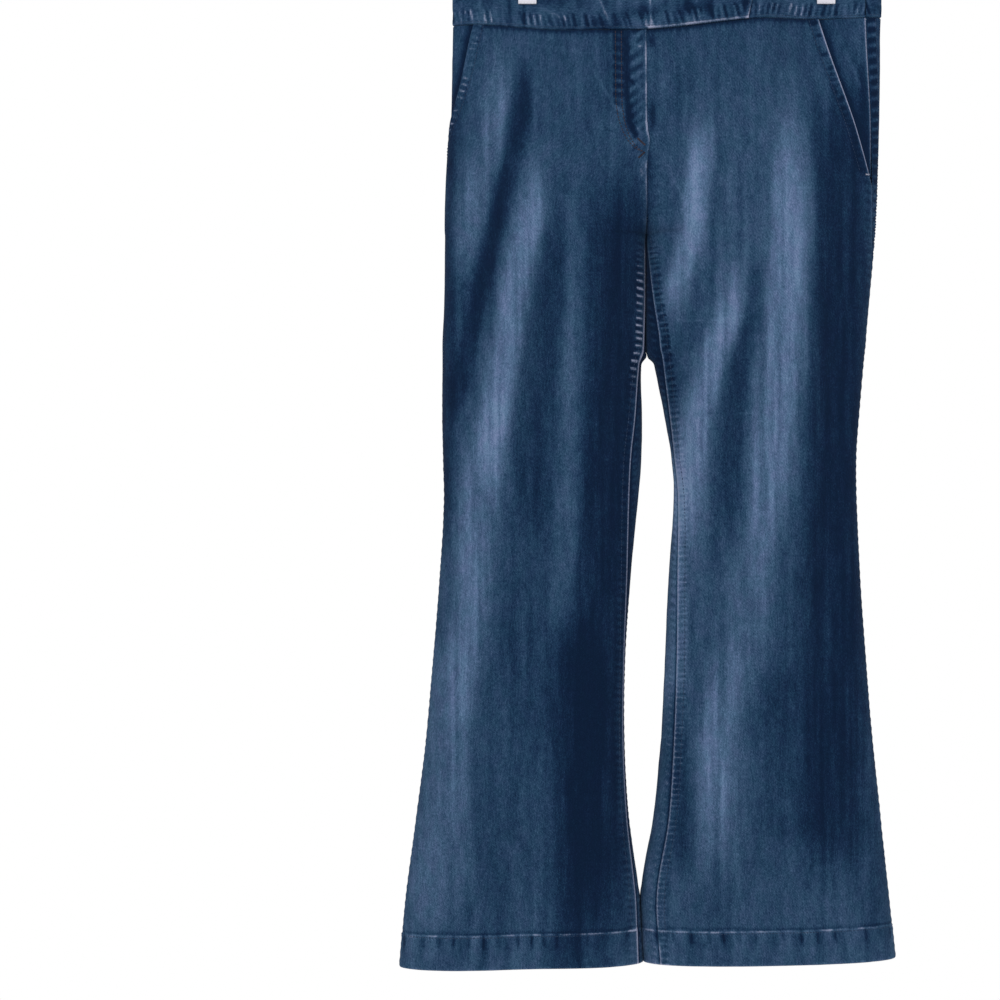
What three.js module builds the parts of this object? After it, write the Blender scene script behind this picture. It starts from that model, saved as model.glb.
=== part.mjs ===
// Flared denim jeans, hung by the waistband from a two-clip trouser hanger.
// Millimetres, +Z up. The front of the jeans faces -Y and the wearer's right side is on -X.
// The origin is the inside top of the hook, where it sits on a rod.
// Heights down the garment, called h, are measured from the top edge of the waistband.
// Running lengths round one half, called a, are measured along the cloth from centre front.
import * as THREE from "three";

// Cloth and clearances.
const DENIM = 1.4;
const BAND_CLOTH = 2.6;
const HEM_FOLD = 1.4;
const SEAM_GAP = 0.3;
const LAYER = DENIM + SEAM_GAP;
const BAND_LAYER = BAND_CLOTH + SEAM_GAP;

// Heights down the garment.
const BAND_HEIGHT = 44;
const ZIP_BOTTOM = 158;
const FLY_BOTTOM = 178;
const SHIELD_BOTTOM = 196;
const POCKET_BOTTOM = 207;
const PARTING_FROM = 165;
const CROTCH = 274;
const HEM_FOLD_LINE = 1038;
const HEM = 1076;

// Places and widths across the garment.
const CENTRE_BACK = 15;
const CENTRE_BACK_FROM = 60;
const CENTRE_BACK_TO = 252;
const TAB_LENGTH = 115;
const TAB_CORNER = 4;
const BAND_UNDERLAP = 40;
const FLY_UNDERLAP = 12;
const ZIP_WIDTH = 26;
const FLY_WIDTH = 48;
const FLY_SLOPE = 20;
const SHIELD_PAST_CENTRE = 8;
const POCKET_OPENING = 58;
const FACING_UNDERLAP = 25;
const FACING_BOTTOM = 196;

// How the garment hangs: the waistband's top edge, its lean, and its dip between the clips.
const BAND_TOP_Z = -128;
const LEAN = 0.019;
const LEAN_FROM = -245;
const DIP = 11.8;
const DIP_CENTRE = -55;
const DIP_REACH = 175;
const DIP_FADES_BY = 420;

// The hanger.
const CLIP_X = 164;
const CLIP_WIDTH = 20;
const CLIP_TIP_Z = -148.5;
const HOOK_RADIUS = 20;
const WIRE_RADIUS = 2.2;
const BAR_RADIUS = 2.5;
const BAR_KNOB_RADIUS = 4.5;
const BAR_HUB_RADIUS = 6;
const BAR_HUB_WIDTH = 18;
const BAR_LENGTH = 392;
const BAR_Z = -94;

// The roundness of a level section: 2 is an ellipse, and more is squarer.
const SQUARENESS = 2.3;

const table = (columns, rows) =>
  rows.map((row) => Object.fromEntries(columns.map((name, i) => [name, row[i]])));

// Level sections. Out and in are the outer and inner limits of each half or leg, inset is how far
// the inseam has rolled to the front, seam is how far the side seam lies behind the outer limit
// along the cloth, and deep is half the depth.
const SECTIONS = table(
  [
    "h",
    "rightOut",
    "rightIn",
    "rightInset",
    "rightSeam",
    "leftInset",
    "leftIn",
    "leftOut",
    "leftSeam",
    "deep",
  ],
  [
    [0, -245, -34, 0, 33, 0, -34, 225, -22, 17],
    [44, -245, -34, 0, 33, 0, -34, 224, -22, 20],
    [130, -248, -34, 0, 18, 0, -34, 223, -22, 29],
    [215, -253, -34, 0, 21, 0, -34, 221, -20, 35],
    [274, -254, -34, 0, 20, 0, -34, 218, -16, 38],
    [345, -255, -34.4, 0, 16, 6, -33.6, 212, -6, 39],
    [390, -257, -34.7, 1, 14, 12, -33.3, 208, 0, 39],
    [404, -257, -35.2, 1.5, 14, 12, -32, 207, 1, 39],
    [412, -257, -37.6, 2, 13, 9, -26.8, 206, 1, 38.6],
    [433, -257, -39, 3, 12, 7, -22, 204, 2, 38],
    [480, -257, -37.5, 8, 10, 4, -13, 200, 3, 37],
    [521, -256, -38, 12, 9, 2, -6, 197, 3, 36],
    [565, -255, -42, 10, 8, 3, -3, 197, 3, 35],
    [653, -260, -50, 4, 7, 8, -9, 201, 3, 34],
    [741, -267, -56, 1, 6, 11, -13, 207, 3, 34],
    [829, -275, -57, 1, 5, 12, -17, 214, 3, 35],
    [917, -286, -52, 2, 4, 15, -26, 223, 3, 37],
    [1000, -297, -41, 4, 4, 15, -39, 232, 3, 38],
    [1076, -304, -37, 5, 4, 16, -36, 240, 3, 39],
  ],
);

// Soft folds. One runs down a face from (x, from) to (endX, to), with its half width and height.
const FOLDS = table(
  ["face", "x", "from", "endX", "to", "width", "height"],
  [
    ["front", -199, 80, -243, 301, 22, 7],
    ["front", -188, 80, -227, 480, 20, -7],
    ["front", -160, 165, -205, 560, 28, 9],
    ["front", -205, 480, -260, 1010, 30, 7],
    ["front", -144, 320, -139, 790, 26, -5],
    ["front", -95, 230, -95, 640, 24, 5],
    ["front", -160, 900, -160, 1150, 55, -7],
    ["front", 26, 165, 26, 600, 24, 6],
    ["front", 79, 260, 76, 600, 22, -6],
    ["front", 122, 140, 112, 560, 28, 8],
    ["front", 112, 480, 70, 1005, 32, 6],
    ["front", 180, 230, 153, 880, 28, -5],
    ["front", 28, 780, 40, 1060, 28, 5],
    ["back", -190, 110, -215, 520, 26, 8],
    ["back", -140, 150, -150, 640, 24, -6],
    ["back", -95, 240, -110, 700, 28, 7],
    ["back", -205, 560, -225, 1080, 30, 6],
    ["back", 45, 200, 40, 620, 24, -6],
    ["back", 100, 140, 90, 660, 28, 8],
    ["back", 155, 180, 140, 700, 24, -5],
    ["back", 130, 640, 170, 1080, 34, 6],
    ["back", 40, 700, 30, 1060, 28, 5],
  ],
);

const evenly = (count, from, to) =>
  Array.from({ length: count + 1 }, (_, i) => from + ((to - from) * i) / count);
const mix = (a, b, k) => a + (b - a) * k;
const clamp = (x, low = 0, high = 1) => Math.min(high, Math.max(low, x));
const otherSide = (side) => (side === "left" ? "right" : "left");

function smoothstep(from, to, x) {
  const k = clamp((x - from) / (to - from));
  return k * k * (3 - 2 * k);
}

// A column of the sections at height h, by a smooth curve through its rows.
function section(column, h) {
  const last = SECTIONS.length - 1;
  let i = 0;
  while (i < last - 1 && SECTIONS[i + 1].h < h) i += 1;
  const slope = (k) => {
    const below = SECTIONS[Math.min(last, k + 1)];
    const above = SECTIONS[Math.max(0, k - 1)];
    return (below[column] - above[column]) / (below.h - above.h);
  };
  const [start, end] = [SECTIONS[i], SECTIONS[i + 1]];
  const run = end.h - start.h;
  const k = clamp((h - start.h) / run);
  return (
    start[column] * (1 - k) ** 2 * (1 + 2 * k) +
    slope(i) * run * k * (1 - k) ** 2 +
    end[column] * k * k * (3 - 2 * k) +
    slope(i + 1) * run * k * k * (k - 1)
  );
}

// 0 where the two halves are one trunk, 1 from the crotch down, where each is a closed leg.
function parting(h) {
  const k = clamp((h - PARTING_FROM) / (CROTCH - PARTING_FROM));
  return 1 - Math.sqrt(1 - k * k);
}

const roundOff = (k) => (1 - clamp(k) ** SQUARENESS) ** (1 / SQUARENESS);

// The share of the full depth that the cloth has at share u of the way from a half's inner limit
// to its outer one.
function fullness(u, h) {
  const innerRound = roundOff(1 - 2 * u);
  const flatTo = 0.5 * smoothstep(100, 330, h);
  const outerRound = roundOff((u - flatTo) / (1 - flatTo));
  return outerRound * (1 - parting(h) * (1 - innerRound));
}

// The clips press the front and back together: 1 under a clip, fading sideways and downwards.
function pinch(x, h) {
  const aside = Math.min(Math.abs(x - CLIP_X), Math.abs(x + CLIP_X));
  return (1 - smoothstep(14, 78, aside)) * (1 - smoothstep(28, 175, h));
}

function foldHeight(face, x, h) {
  let sum = 0;
  for (const fold of FOLDS) {
    if (fold.face !== face || h < fold.from || h > fold.to) continue;
    const k = (h - fold.from) / (fold.to - fold.from);
    const off = (x - mix(fold.x, fold.endX, k)) / fold.width;
    const ends = smoothstep(0, 0.3, k) * (1 - smoothstep(0.7, 1, k));
    sum += fold.height * Math.exp(-off * off) * ends;
  }
  return sum;
}

function heightToZ(x, h) {
  const reach = clamp((x - DIP_CENTRE) / DIP_REACH, -1, 1);
  const fade = 1 - smoothstep(BAND_HEIGHT, DIP_FADES_BY, h);
  const dip = DIP * Math.cos((Math.PI / 2) * reach) ** 2 * fade;
  return BAND_TOP_Z - h + LEAN * (x - LEAN_FROM) - dip;
}

// One half's level outline at height h, with its running length: from centre front (or the leg's
// inner limit) round the side to centre back (or the inner limit again). Start is the length from
// the inner limit to the inseam, and toSide the length from there to the outer limit.
const outlines = new Map();
const FACE_SAMPLES = 120;
const NEAR_SEAM = 8;

function outline(side, h) {
  const key = `${side} ${h.toFixed(4)}`;
  if (outlines.has(key)) return outlines.get(key);
  const outward = side === "left" ? 1 : -1;
  const outerX = section(`${side}Out`, h);
  const frontX = section(`${side}In`, h);
  const backX = mix(CENTRE_BACK, frontX, smoothstep(CENTRE_BACK_FROM, CENTRE_BACK_TO, h));
  const deep = section("deep", h);

  const face = (name, direction, innerX) => {
    const samples = evenly(FACE_SAMPLES, 0, 1).map((s) => {
      const u = (1 - Math.cos(Math.PI * s)) / 2;
      return { u, x: mix(innerX, outerX, u), full: fullness(u, h) };
    });
    // Where the cloth turns away at the seam, its thickness reaches over, so it is set back.
    const [first, near] = [samples[0], samples[NEAR_SEAM]];
    const turn = deep * Math.abs(near.full - first.full);
    const reach = ((DENIM / 2) * turn) / Math.hypot(turn, near.x - first.x);
    const setBack = outward * (0.8 * SEAM_GAP + reach);
    return samples.map(({ u, x: plainX, full }) => {
      const x = plainX + setBack * (1 - u);
      const free = deep * full + foldHeight(name, x, h) * smoothstep(0, 0.7, full);
      const pressed = (1.6 + 1.1 * smoothstep(30, 60, h)) * smoothstep(0, 0.3, full);
      return { x, y: direction * mix(free, pressed, pinch(x, h)), length: 0 };
    });
  };
  const front = face("front", -1, frontX);
  const back = face("back", 1, backX).reverse();
  const points = [...front, ...back.slice(1)];
  points.forEach((point, i) => {
    if (i === 0) return;
    const before = points[i - 1];
    point.length = before.length + Math.hypot(point.x - before.x, point.y - before.y);
  });
  const inset = h < CROTCH ? 0 : Math.max(0, section(`${side}Inset`, h));
  const past = points.findIndex(({ x }) => Math.abs(x - points[0].x) > inset);
  const [short, long] = [points[past - 1] ?? points[0], points[past]];
  const reached = Math.abs(short.x - points[0].x);
  const share = (inset - reached) / (Math.abs(long.x - points[0].x) - reached);
  const start = mix(short.length, long.length, share);
  const made = {
    points,
    start,
    length: points[points.length - 1].length,
    toSide: points[FACE_SAMPLES].length - start,
  };
  outlines.set(key, made);
  return made;
}

// Carries a place that runs past centre front or centre back on to the other half.
function settle(side, a, h) {
  if (h >= CROTCH) return [side, a];
  if (a < 0) return [otherSide(side), -a];
  const total = outline(side, h).length;
  if (a > total) return [otherSide(side), outline(otherSide(side), h).length - (a - total)];
  return [side, a];
}

function clothOnHalf(side, a, h) {
  const { points, start, length } = outline(side, h);
  const place = h < CROTCH ? clamp(a, 0, length) : (a + start + length) % length;
  let low = 0;
  let high = points.length - 1;
  while (high - low > 1) {
    const middle = (low + high) >> 1;
    if (points[middle].length <= place) low = middle;
    else high = middle;
  }
  const run = points[high].length - points[low].length || 1;
  const k = (place - points[low].length) / run;
  const x = mix(points[low].x, points[high].x, k);
  const y = mix(points[low].y, points[high].y, k);
  return new THREE.Vector3(x, y, heightToZ(x, h));
}

// The outward normal, by differences that stay on one half or leg.
function normalOnHalf(side, a, h) {
  const step = 2.5;
  const rise = 3;
  const total = outline(side, h).length;
  const share = a / total;
  const above = clothOnHalf(side, share * outline(side, h - rise).length, h - rise);
  const below = clothOnHalf(side, share * outline(side, h + rise).length, h + rise);
  const from = clothOnHalf(side, a - step, h);
  const to = clothOnHalf(side, a + step, h);
  const normal = to.sub(from).cross(below.sub(above)).normalize();
  return side === "left" ? normal.negate() : normal;
}

const sideSeam = (side, h) => outline(side, h).toSide + section(`${side}Seam`, h);

// How far the pocket's slanting edge lies in front of the side seam.
const pocketOpening = (h) => POCKET_OPENING * clamp((POCKET_BOTTOM - h) / (POCKET_BOTTOM - BAND_HEIGHT));

function meshFrom(name, position, index, paint) {
  const geometry = new THREE.BufferGeometry();
  geometry.setAttribute("position", new THREE.Float32BufferAttribute(position, 3));
  geometry.setIndex(index);
  geometry.computeVertexNormals();
  return namedMesh(name, geometry, paint);
}

function namedMesh(name, geometry, paint) {
  const mesh = new THREE.Mesh(geometry, paint);
  mesh.name = name;
  return mesh;
}

function signedVolume(position, index) {
  const [a, b, c] = [0, 0, 0].map(() => new THREE.Vector3());
  let sum = 0;
  for (let i = 0; i < index.length; i += 3) {
    [a, b, c].forEach((corner, k) => corner.fromArray(position, index[i + k] * 3));
    sum += a.dot(b.clone().cross(c)) / 6;
  }
  return sum;
}

// A closed wall of cloth on a grid. heights are its rows, stations(h) gives the running lengths of
// its columns, lift(a, h) raises it off the cloth's middle surface, and outer and inner are its
// thickness to each side of there.
function clothWall({ name, side, heights, stations, paint, lift, outer, inner }) {
  const liftAt = lift ?? (() => 0);
  const outerAt = outer ?? (() => DENIM / 2);
  const innerAt = inner ?? (() => DENIM / 2);
  const rows = heights.length;
  const columns = stations(heights[0]).length;
  const position = [];
  for (const face of ["outer", "inner"]) {
    for (const h of heights) {
      for (const a of stations(h)) {
        const offset = liftAt(a, h) + (face === "outer" ? outerAt(h) : -innerAt(h));
        const [half, place] = settle(side, a, h);
        const point = clothOnHalf(half, place, h);
        point.addScaledVector(normalOnHalf(half, place, h), offset);
        position.push(point.x, point.y, point.z);
      }
    }
  }
  const at = (face, row, column) => (face * rows + row) * columns + column;
  const index = [];
  const quad = (a, b, c, d) => index.push(a, b, c, a, c, d);
  for (let row = 0; row < rows - 1; row += 1) {
    for (let column = 0; column < columns - 1; column += 1) {
      const corners = (face) => [
        at(face, row, column),
        at(face, row + 1, column),
        at(face, row + 1, column + 1),
        at(face, row, column + 1),
      ];
      quad(...corners(0));
      const [a, b, c, d] = corners(1);
      index.push(a, c, b, a, d, c);
    }
    const last = columns - 1;
    quad(at(0, row, 0), at(1, row, 0), at(1, row + 1, 0), at(0, row + 1, 0));
    quad(at(0, row + 1, last), at(1, row + 1, last), at(1, row, last), at(0, row, last));
  }
  const last = rows - 1;
  for (let column = 0; column < columns - 1; column += 1) {
    quad(at(0, 0, column), at(0, 0, column + 1), at(1, 0, column + 1), at(1, 0, column));
    quad(at(1, last, column), at(1, last, column + 1), at(0, last, column + 1), at(0, last, column));
  }
  if (signedVolume(position, index) < 0) index.reverse();
  return meshFrom(name, position, index, paint);
}

const join = (...runs) => runs.flatMap((run, i) => (i ? run.slice(1) : run));

const paint = (color, roughness, metalness = 0) =>
  new THREE.MeshStandardMaterial({ color, roughness, metalness });
const denimPaint = () => paint(0x2f4a6b, 0.9);
const facingPaint = () => paint(0x26405f, 0.9);
const zipPaint = () => paint(0x27364f, 0.8);
const clipPaint = () => paint(0xe9e6ea, 0.45);
const steelPaint = () => paint(0xb9bcc0, 0.3, 1);

// Rows shared by every piece below the waistband, closer where the trunk parts into legs.
const WAIST_SEAM = BAND_HEIGHT + SEAM_GAP;
const FLY_ROWS = evenly(5, WAIST_SEAM, ZIP_BOTTOM);
const PANEL_ROWS = [
  ...FLY_ROWS,
  FLY_BOTTOM,
  SHIELD_BOTTOM,
  POCKET_BOTTOM,
  220,
  232,
  243,
  253,
  261,
  268,
  CROTCH,
  282,
  ...evenly(25, 300, HEM_FOLD_LINE - 0.5),
  HEM_FOLD_LINE + 0.5,
  HEM,
];
const rowsTo = (h) => PANEL_ROWS.filter((row) => row <= h);
const panelInner = (h) => DENIM / 2 + (h > HEM_FOLD_LINE ? HEM_FOLD : 0);

const flyUnderlap = (h) => FLY_UNDERLAP * clamp((FLY_BOTTOM - 2 - h) / 18);

// The right front's flap lies over the left front as far down as the fly goes.
function flyLift(a, h) {
  const across = 1 - smoothstep(FLY_WIDTH, FLY_WIDTH + FLY_SLOPE, a);
  return LAYER * across * (1 - smoothstep(FLY_BOTTOM, POCKET_BOTTOM, h));
}

function frontPanel(side) {
  const isFlap = side === "right";
  const stations = (h) => {
    const start = SEAM_GAP / 2 - (isFlap || h > FLY_BOTTOM ? 0 : flyUnderlap(h));
    const edge = sideSeam(side, h) - pocketOpening(h) - SEAM_GAP / 2;
    const turn = edge - FACING_UNDERLAP;
    return join(evenly(3, start, FLY_WIDTH), evenly(9, FLY_WIDTH, turn), evenly(2, turn, edge));
  };
  return clothWall({
    name: `front_${side}`,
    side,
    heights: PANEL_ROWS,
    stations,
    lift: isFlap ? flyLift : undefined,
    inner: panelInner,
    paint: denimPaint(),
  });
}

function backPanel(side) {
  return clothWall({
    name: `back_${side}`,
    side,
    heights: PANEL_ROWS,
    stations: (h) => evenly(12, sideSeam(side, h) + SEAM_GAP / 2, outline(side, h).length - SEAM_GAP / 2),
    inner: panelInner,
    paint: denimPaint(),
  });
}

// The hip piece that shows between the slanting pocket edge and the side seam.
function pocketFacing(side) {
  const edgeAt = (h) => sideSeam(side, h) - pocketOpening(h) - SEAM_GAP / 2;
  return clothWall({
    name: `pocket_facing_${side}`,
    side,
    heights: rowsTo(FACING_BOTTOM),
    stations: (h) => {
      const edge = edgeAt(h);
      const seam = sideSeam(side, h) - SEAM_GAP / 2;
      return join(evenly(2, edge - FACING_UNDERLAP, edge), evenly(3, edge, seam));
    },
    lift: (a, h) => LAYER * (smoothstep(4, 26, a - edgeAt(h)) - 1),
    paint: facingPaint(),
  });
}

// The zip lies in the left front's layer, under the flap, and the shield lies behind both.
function flyZip() {
  const start = FLY_UNDERLAP + SEAM_GAP;
  return clothWall({
    name: "fly_zip",
    side: "right",
    heights: FLY_ROWS,
    stations: () => evenly(2, start, start + ZIP_WIDTH),
    paint: zipPaint(),
  });
}

function flyShield() {
  return clothWall({
    name: "fly_shield",
    side: "right",
    heights: rowsTo(SHIELD_BOTTOM),
    stations: () => join([-SHIELD_PAST_CENTRE, 0], evenly(3, 0, FLY_WIDTH)),
    lift: () => -LAYER,
    paint: facingPaint(),
  });
}

const BAND_ROWS = evenly(3, 0, BAND_HEIGHT);
const bandHalf = () => BAND_CLOTH / 2;
const bandPiece = (name, side, stations, lift) =>
  clothWall({
    name,
    side,
    heights: BAND_ROWS,
    stations,
    lift,
    outer: bandHalf,
    inner: bandHalf,
    paint: denimPaint(),
  });

// The right front waistband runs on over the left one as a tab with a rounded lower corner.
function rightBand() {
  const tabEnd = (h) => TAB_LENGTH - TAB_CORNER * smoothstep(BAND_HEIGHT / 2, BAND_HEIGHT, h);
  const stations = (h) =>
    join(
      evenly(10, -tabEnd(h), 0),
      evenly(4, 0, BAND_UNDERLAP),
      evenly(11, BAND_UNDERLAP, sideSeam("right", h) - SEAM_GAP / 2),
    );
  const lift = (a) => BAND_LAYER * (1 - smoothstep(BAND_UNDERLAP, BAND_UNDERLAP + 36, a));
  return bandPiece("waistband_right", "right", stations, lift);
}

function leftBand() {
  const stations = (h) =>
    join(
      evenly(4, -BAND_UNDERLAP, 0),
      evenly(10, 0, TAB_LENGTH),
      evenly(8, TAB_LENGTH, sideSeam("left", h) - SEAM_GAP / 2),
    );
  return bandPiece("waistband_left", "left", stations);
}

// The back waistband runs from side seam to side seam across centre back.
function backBand() {
  const stations = (h) => {
    const start = sideSeam("right", h) + SEAM_GAP / 2;
    const end = outline("right", h).length + outline("left", h).length - sideSeam("left", h);
    return evenly(32, start, end - SEAM_GAP / 2);
  };
  return bandPiece("waistband_back", "right", stations);
}

// A question-mark hook of wire, whose stem stands on the bar's hub.
function hangerHook() {
  const ring = HOOK_RADIUS + WIRE_RADIUS;
  const stemFoot = BAR_Z + BAR_HUB_RADIUS + SEAM_GAP;
  const [tipAngle, shoulderAngle] = [-25, 215].map(THREE.MathUtils.degToRad);
  const bend = evenly(16, tipAngle, shoulderAngle).map(
    (angle) => new THREE.Vector3(ring * Math.cos(angle), 0, ring * Math.sin(angle) - HOOK_RADIUS),
  );
  const stem = [-44, -56, -68, stemFoot].map(
    (z, i) => new THREE.Vector3([-8, -1, 0, 0][i], 0, z),
  );
  const path = new THREE.CatmullRomCurve3([...bend, ...stem], false, "centripetal");
  const wire = new THREE.Shape().absarc(0, 0, WIRE_RADIUS, 0, 2 * Math.PI);
  const geometry = new THREE.ExtrudeGeometry(wire, {
    steps: 52,
    curveSegments: 4,
    extrudePath: path,
  });
  return namedMesh("hanger_hook", geometry, steelPaint());
}

// A round bar with a hub in the middle and a knob at each end.
function hangerBar() {
  const half = BAR_LENGTH / 2;
  const profile = [
    [0, -half],
    [BAR_KNOB_RADIUS, -half + 1],
    [BAR_KNOB_RADIUS, -half + 7],
    [BAR_RADIUS, -half + 8],
    [BAR_RADIUS, -BAR_HUB_WIDTH / 2 - 1],
    [BAR_HUB_RADIUS, -BAR_HUB_WIDTH / 2],
    [BAR_HUB_RADIUS, BAR_HUB_WIDTH / 2],
    [BAR_RADIUS, BAR_HUB_WIDTH / 2 + 1],
    [BAR_RADIUS, half - 8],
    [BAR_KNOB_RADIUS, half - 7],
    [BAR_KNOB_RADIUS, half - 1],
    [0, half],
  ].map(([r, along]) => new THREE.Vector2(r, along));
  const mesh = namedMesh("hanger_bar", new THREE.LatheGeometry(profile, 12), steelPaint());
  mesh.rotation.z = -Math.PI / 2;
  mesh.position.z = BAR_Z;
  return mesh;
}

// One jaw of a clip, drawn as distance out from the middle plane against height over the bar: a
// finger plate above, half a groove round the bar, and a bowed arm down to its pad on the cloth.
function clipJaw(name, x, direction) {
  const groove = BAR_RADIUS + SEAM_GAP;
  const tip = CLIP_TIP_Z - BAR_Z;
  const pad = 1.6 + BAND_CLOTH / 2 + SEAM_GAP;
  const shape = new THREE.Shape();
  const outside = [
    [0.2, 7],
    [7.4, 18.6],
    [10.6, 20.4],
    [12, 18.6],
    [6.8, 7],
    [6.4, -6],
    [8.6, -18],
    [8.8, -32],
    [7, tip + 6],
    [6, tip],
    [pad, tip],
    [pad, tip + 9],
    [5, tip + 13],
    [6.6, -30],
    [6.2, -19],
    [0.2, -8],
    [0.2, -groove],
  ];
  shape.moveTo(0.2, groove);
  outside.forEach(([out, height]) => shape.lineTo(out, height));
  shape.absarc(0.2, 0, groove, -Math.PI / 2, Math.PI / 2, false);
  const geometry = new THREE.ExtrudeGeometry(shape, {
    depth: CLIP_WIDTH,
    curveSegments: 5,
    bevelEnabled: false,
  });
  geometry.translate(0, 0, -CLIP_WIDTH / 2);
  const mesh = namedMesh(name, geometry, clipPaint());
  mesh.rotation.set(Math.PI / 2, 0, (-direction * Math.PI) / 2, "ZXY");
  mesh.position.set(x, 0, BAR_Z);
  return mesh;
}

const jeans = new THREE.Group();
jeans.name = "flared_jeans";
for (const side of ["right", "left"]) {
  jeans.add(frontPanel(side), backPanel(side), pocketFacing(side));
}
jeans.add(flyZip(), flyShield(), rightBand(), leftBand(), backBand());

const hanger = new THREE.Group();
hanger.name = "clip_hanger";
hanger.add(hangerHook(), hangerBar());
for (const [side, x] of [["right", -CLIP_X], ["left", CLIP_X]]) {
  hanger.add(clipJaw(`clip_${side}_front`, x, 1), clipJaw(`clip_${side}_back`, x, -1));
}

const model = new THREE.Group();
model.add(jeans, hanger);

export default model;
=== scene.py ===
"""Washed flared jeans on a clip hanger.

The cloth is worked out in millimetres on the level sections of the solids, except that the left
side seam and the left pocket's mouth lie a little nearer to the outer edge. The meshes are in
metres. h is the height down from the top edge of the waistband, and a is the running length
round one half, from centre front.
"""

import math
from functools import lru_cache

import bmesh
import bpy
import numpy as np
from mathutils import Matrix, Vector


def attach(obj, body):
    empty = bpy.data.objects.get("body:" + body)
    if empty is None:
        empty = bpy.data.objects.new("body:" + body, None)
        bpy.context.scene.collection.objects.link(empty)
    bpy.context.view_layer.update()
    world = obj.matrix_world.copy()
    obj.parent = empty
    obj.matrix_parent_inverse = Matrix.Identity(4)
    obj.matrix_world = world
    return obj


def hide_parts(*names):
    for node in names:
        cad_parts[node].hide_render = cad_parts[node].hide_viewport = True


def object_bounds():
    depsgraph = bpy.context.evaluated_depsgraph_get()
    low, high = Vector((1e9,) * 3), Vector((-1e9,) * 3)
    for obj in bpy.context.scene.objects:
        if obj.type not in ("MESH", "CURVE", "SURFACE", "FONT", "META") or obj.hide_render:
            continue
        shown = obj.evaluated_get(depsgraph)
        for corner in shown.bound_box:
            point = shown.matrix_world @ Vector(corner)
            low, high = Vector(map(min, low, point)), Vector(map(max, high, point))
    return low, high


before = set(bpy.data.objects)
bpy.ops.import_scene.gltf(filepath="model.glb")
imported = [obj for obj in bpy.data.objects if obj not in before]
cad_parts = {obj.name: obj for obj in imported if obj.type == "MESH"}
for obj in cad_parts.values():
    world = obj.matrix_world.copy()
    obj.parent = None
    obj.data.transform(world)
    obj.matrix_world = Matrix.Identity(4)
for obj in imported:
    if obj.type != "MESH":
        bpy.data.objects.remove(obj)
cad_box = [list(corner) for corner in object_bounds()]

MM = 0.001

# Cloth and clearances.
DENIM = 1.4
BAND_CLOTH = 2.6
HEM_FOLD = 1.4
SEAM_GAP = 0.3
LAYER = DENIM + SEAM_GAP
BAND_LAYER = BAND_CLOTH + SEAM_GAP

# Heights down the garment.
BAND_HEIGHT = 44
WAIST_SEAM = BAND_HEIGHT + SEAM_GAP
ZIP_BOTTOM = 158
FLY_BOTTOM = 178
SHIELD_BOTTOM = 196
FLAP_FADES_BY = 207
PARTING_FROM = 165
CROTCH = 274
HEM_FOLD_LINE = 1038
HEM = 1076

# Places and widths across the garment.
CENTRE_BACK = 15
CENTRE_BACK_FROM = 60
CENTRE_BACK_TO = 252
TAB_LENGTH = 115
TAB_CORNER = 4
BAND_UNDERLAP = 40
FLY_UNDERLAP = 12
ZIP_WIDTH = 26
FLY_WIDTH = 48
FLY_SLOPE = 20
SHIELD_PAST_CENTRE = 8
FACING_UNDERLAP = 25

# Each pocket: how wide its mouth is at the waistband, where the mouth and its facing end, and the
# height of the tack that closes it.
POCKETS = {
    "right": {"opening": 58, "bottom": 207, "facing": 196, "tack": 207},
    "left": {"opening": 51.5, "bottom": 232, "facing": 220, "tack": 218},
}

# How the garment hangs.
BAND_TOP_Z = -128
LEAN = 0.019
LEAN_FROM = -245
DIP = 11.8
DIP_CENTRE = -55
DIP_REACH = 175
DIP_FADES_BY = 420
CLIP_X = 164
SQUARENESS = 2.3

# Sewing.
BUTT = 0.03
SEAM_TURN = 0.4
STITCH = 3.0
STITCH_GAP = 0.7
THREAD_RADIUS = 0.33
FLY_THREAD_RADIUS = 0.45
TACK_PITCH = 0.62
TURN = 1.7


def table(columns, rows):
    """Rows of numbers as one array for each named column."""
    return dict(zip(columns, np.array(rows, float).T))


SECTIONS = table(
    (
        "h", "right_out", "right_in", "right_inset", "right_seam",
        "left_inset", "left_in", "left_out", "left_seam", "deep",
    ),
    [
        (0, -245, -34, 0, 33, 0, -34, 225, -18.5, 17),
        (44, -245, -34, 0, 33, 0, -34, 224, -18.5, 20),
        (130, -248, -34, 0, 18, 0, -34, 223, -16.8, 29),
        (215, -253, -34, 0, 21, 0, -34, 221, -15.5, 35),
        (274, -254, -34, 0, 20, 0, -34, 218, -13.5, 38),
        (345, -255, -34.4, 0, 16, 6, -33.6, 212, -6, 39),
        (390, -257, -34.7, 1, 14, 12, -33.3, 208, 0, 39),
        (404, -257, -35.2, 1.5, 14, 12, -32, 207, 1, 39),
        (412, -257, -37.6, 2, 13, 9, -26.8, 206, 1, 38.6),
        (433, -257, -39, 3, 12, 7, -22, 204, 2, 38),
        (480, -257, -37.5, 8, 10, 4, -13, 200, 3, 37),
        (521, -256, -38, 12, 9, 2, -6, 197, 3, 36),
        (565, -255, -42, 10, 8, 3, -3, 197, 3, 35),
        (653, -260, -50, 4, 7, 8, -9, 201, 3, 34),
        (741, -267, -56, 1, 6, 11, -13, 207, 3, 34),
        (829, -275, -57, 1, 5, 12, -17, 214, 3, 35),
        (917, -286, -52, 2, 4, 15, -26, 223, 3, 37),
        (1000, -297, -41, 4, 4, 15, -39, 232, 3, 38),
        (1076, -304, -37, 5, 4, 16, -36, 240, 3, 39),
    ],
)

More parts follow.
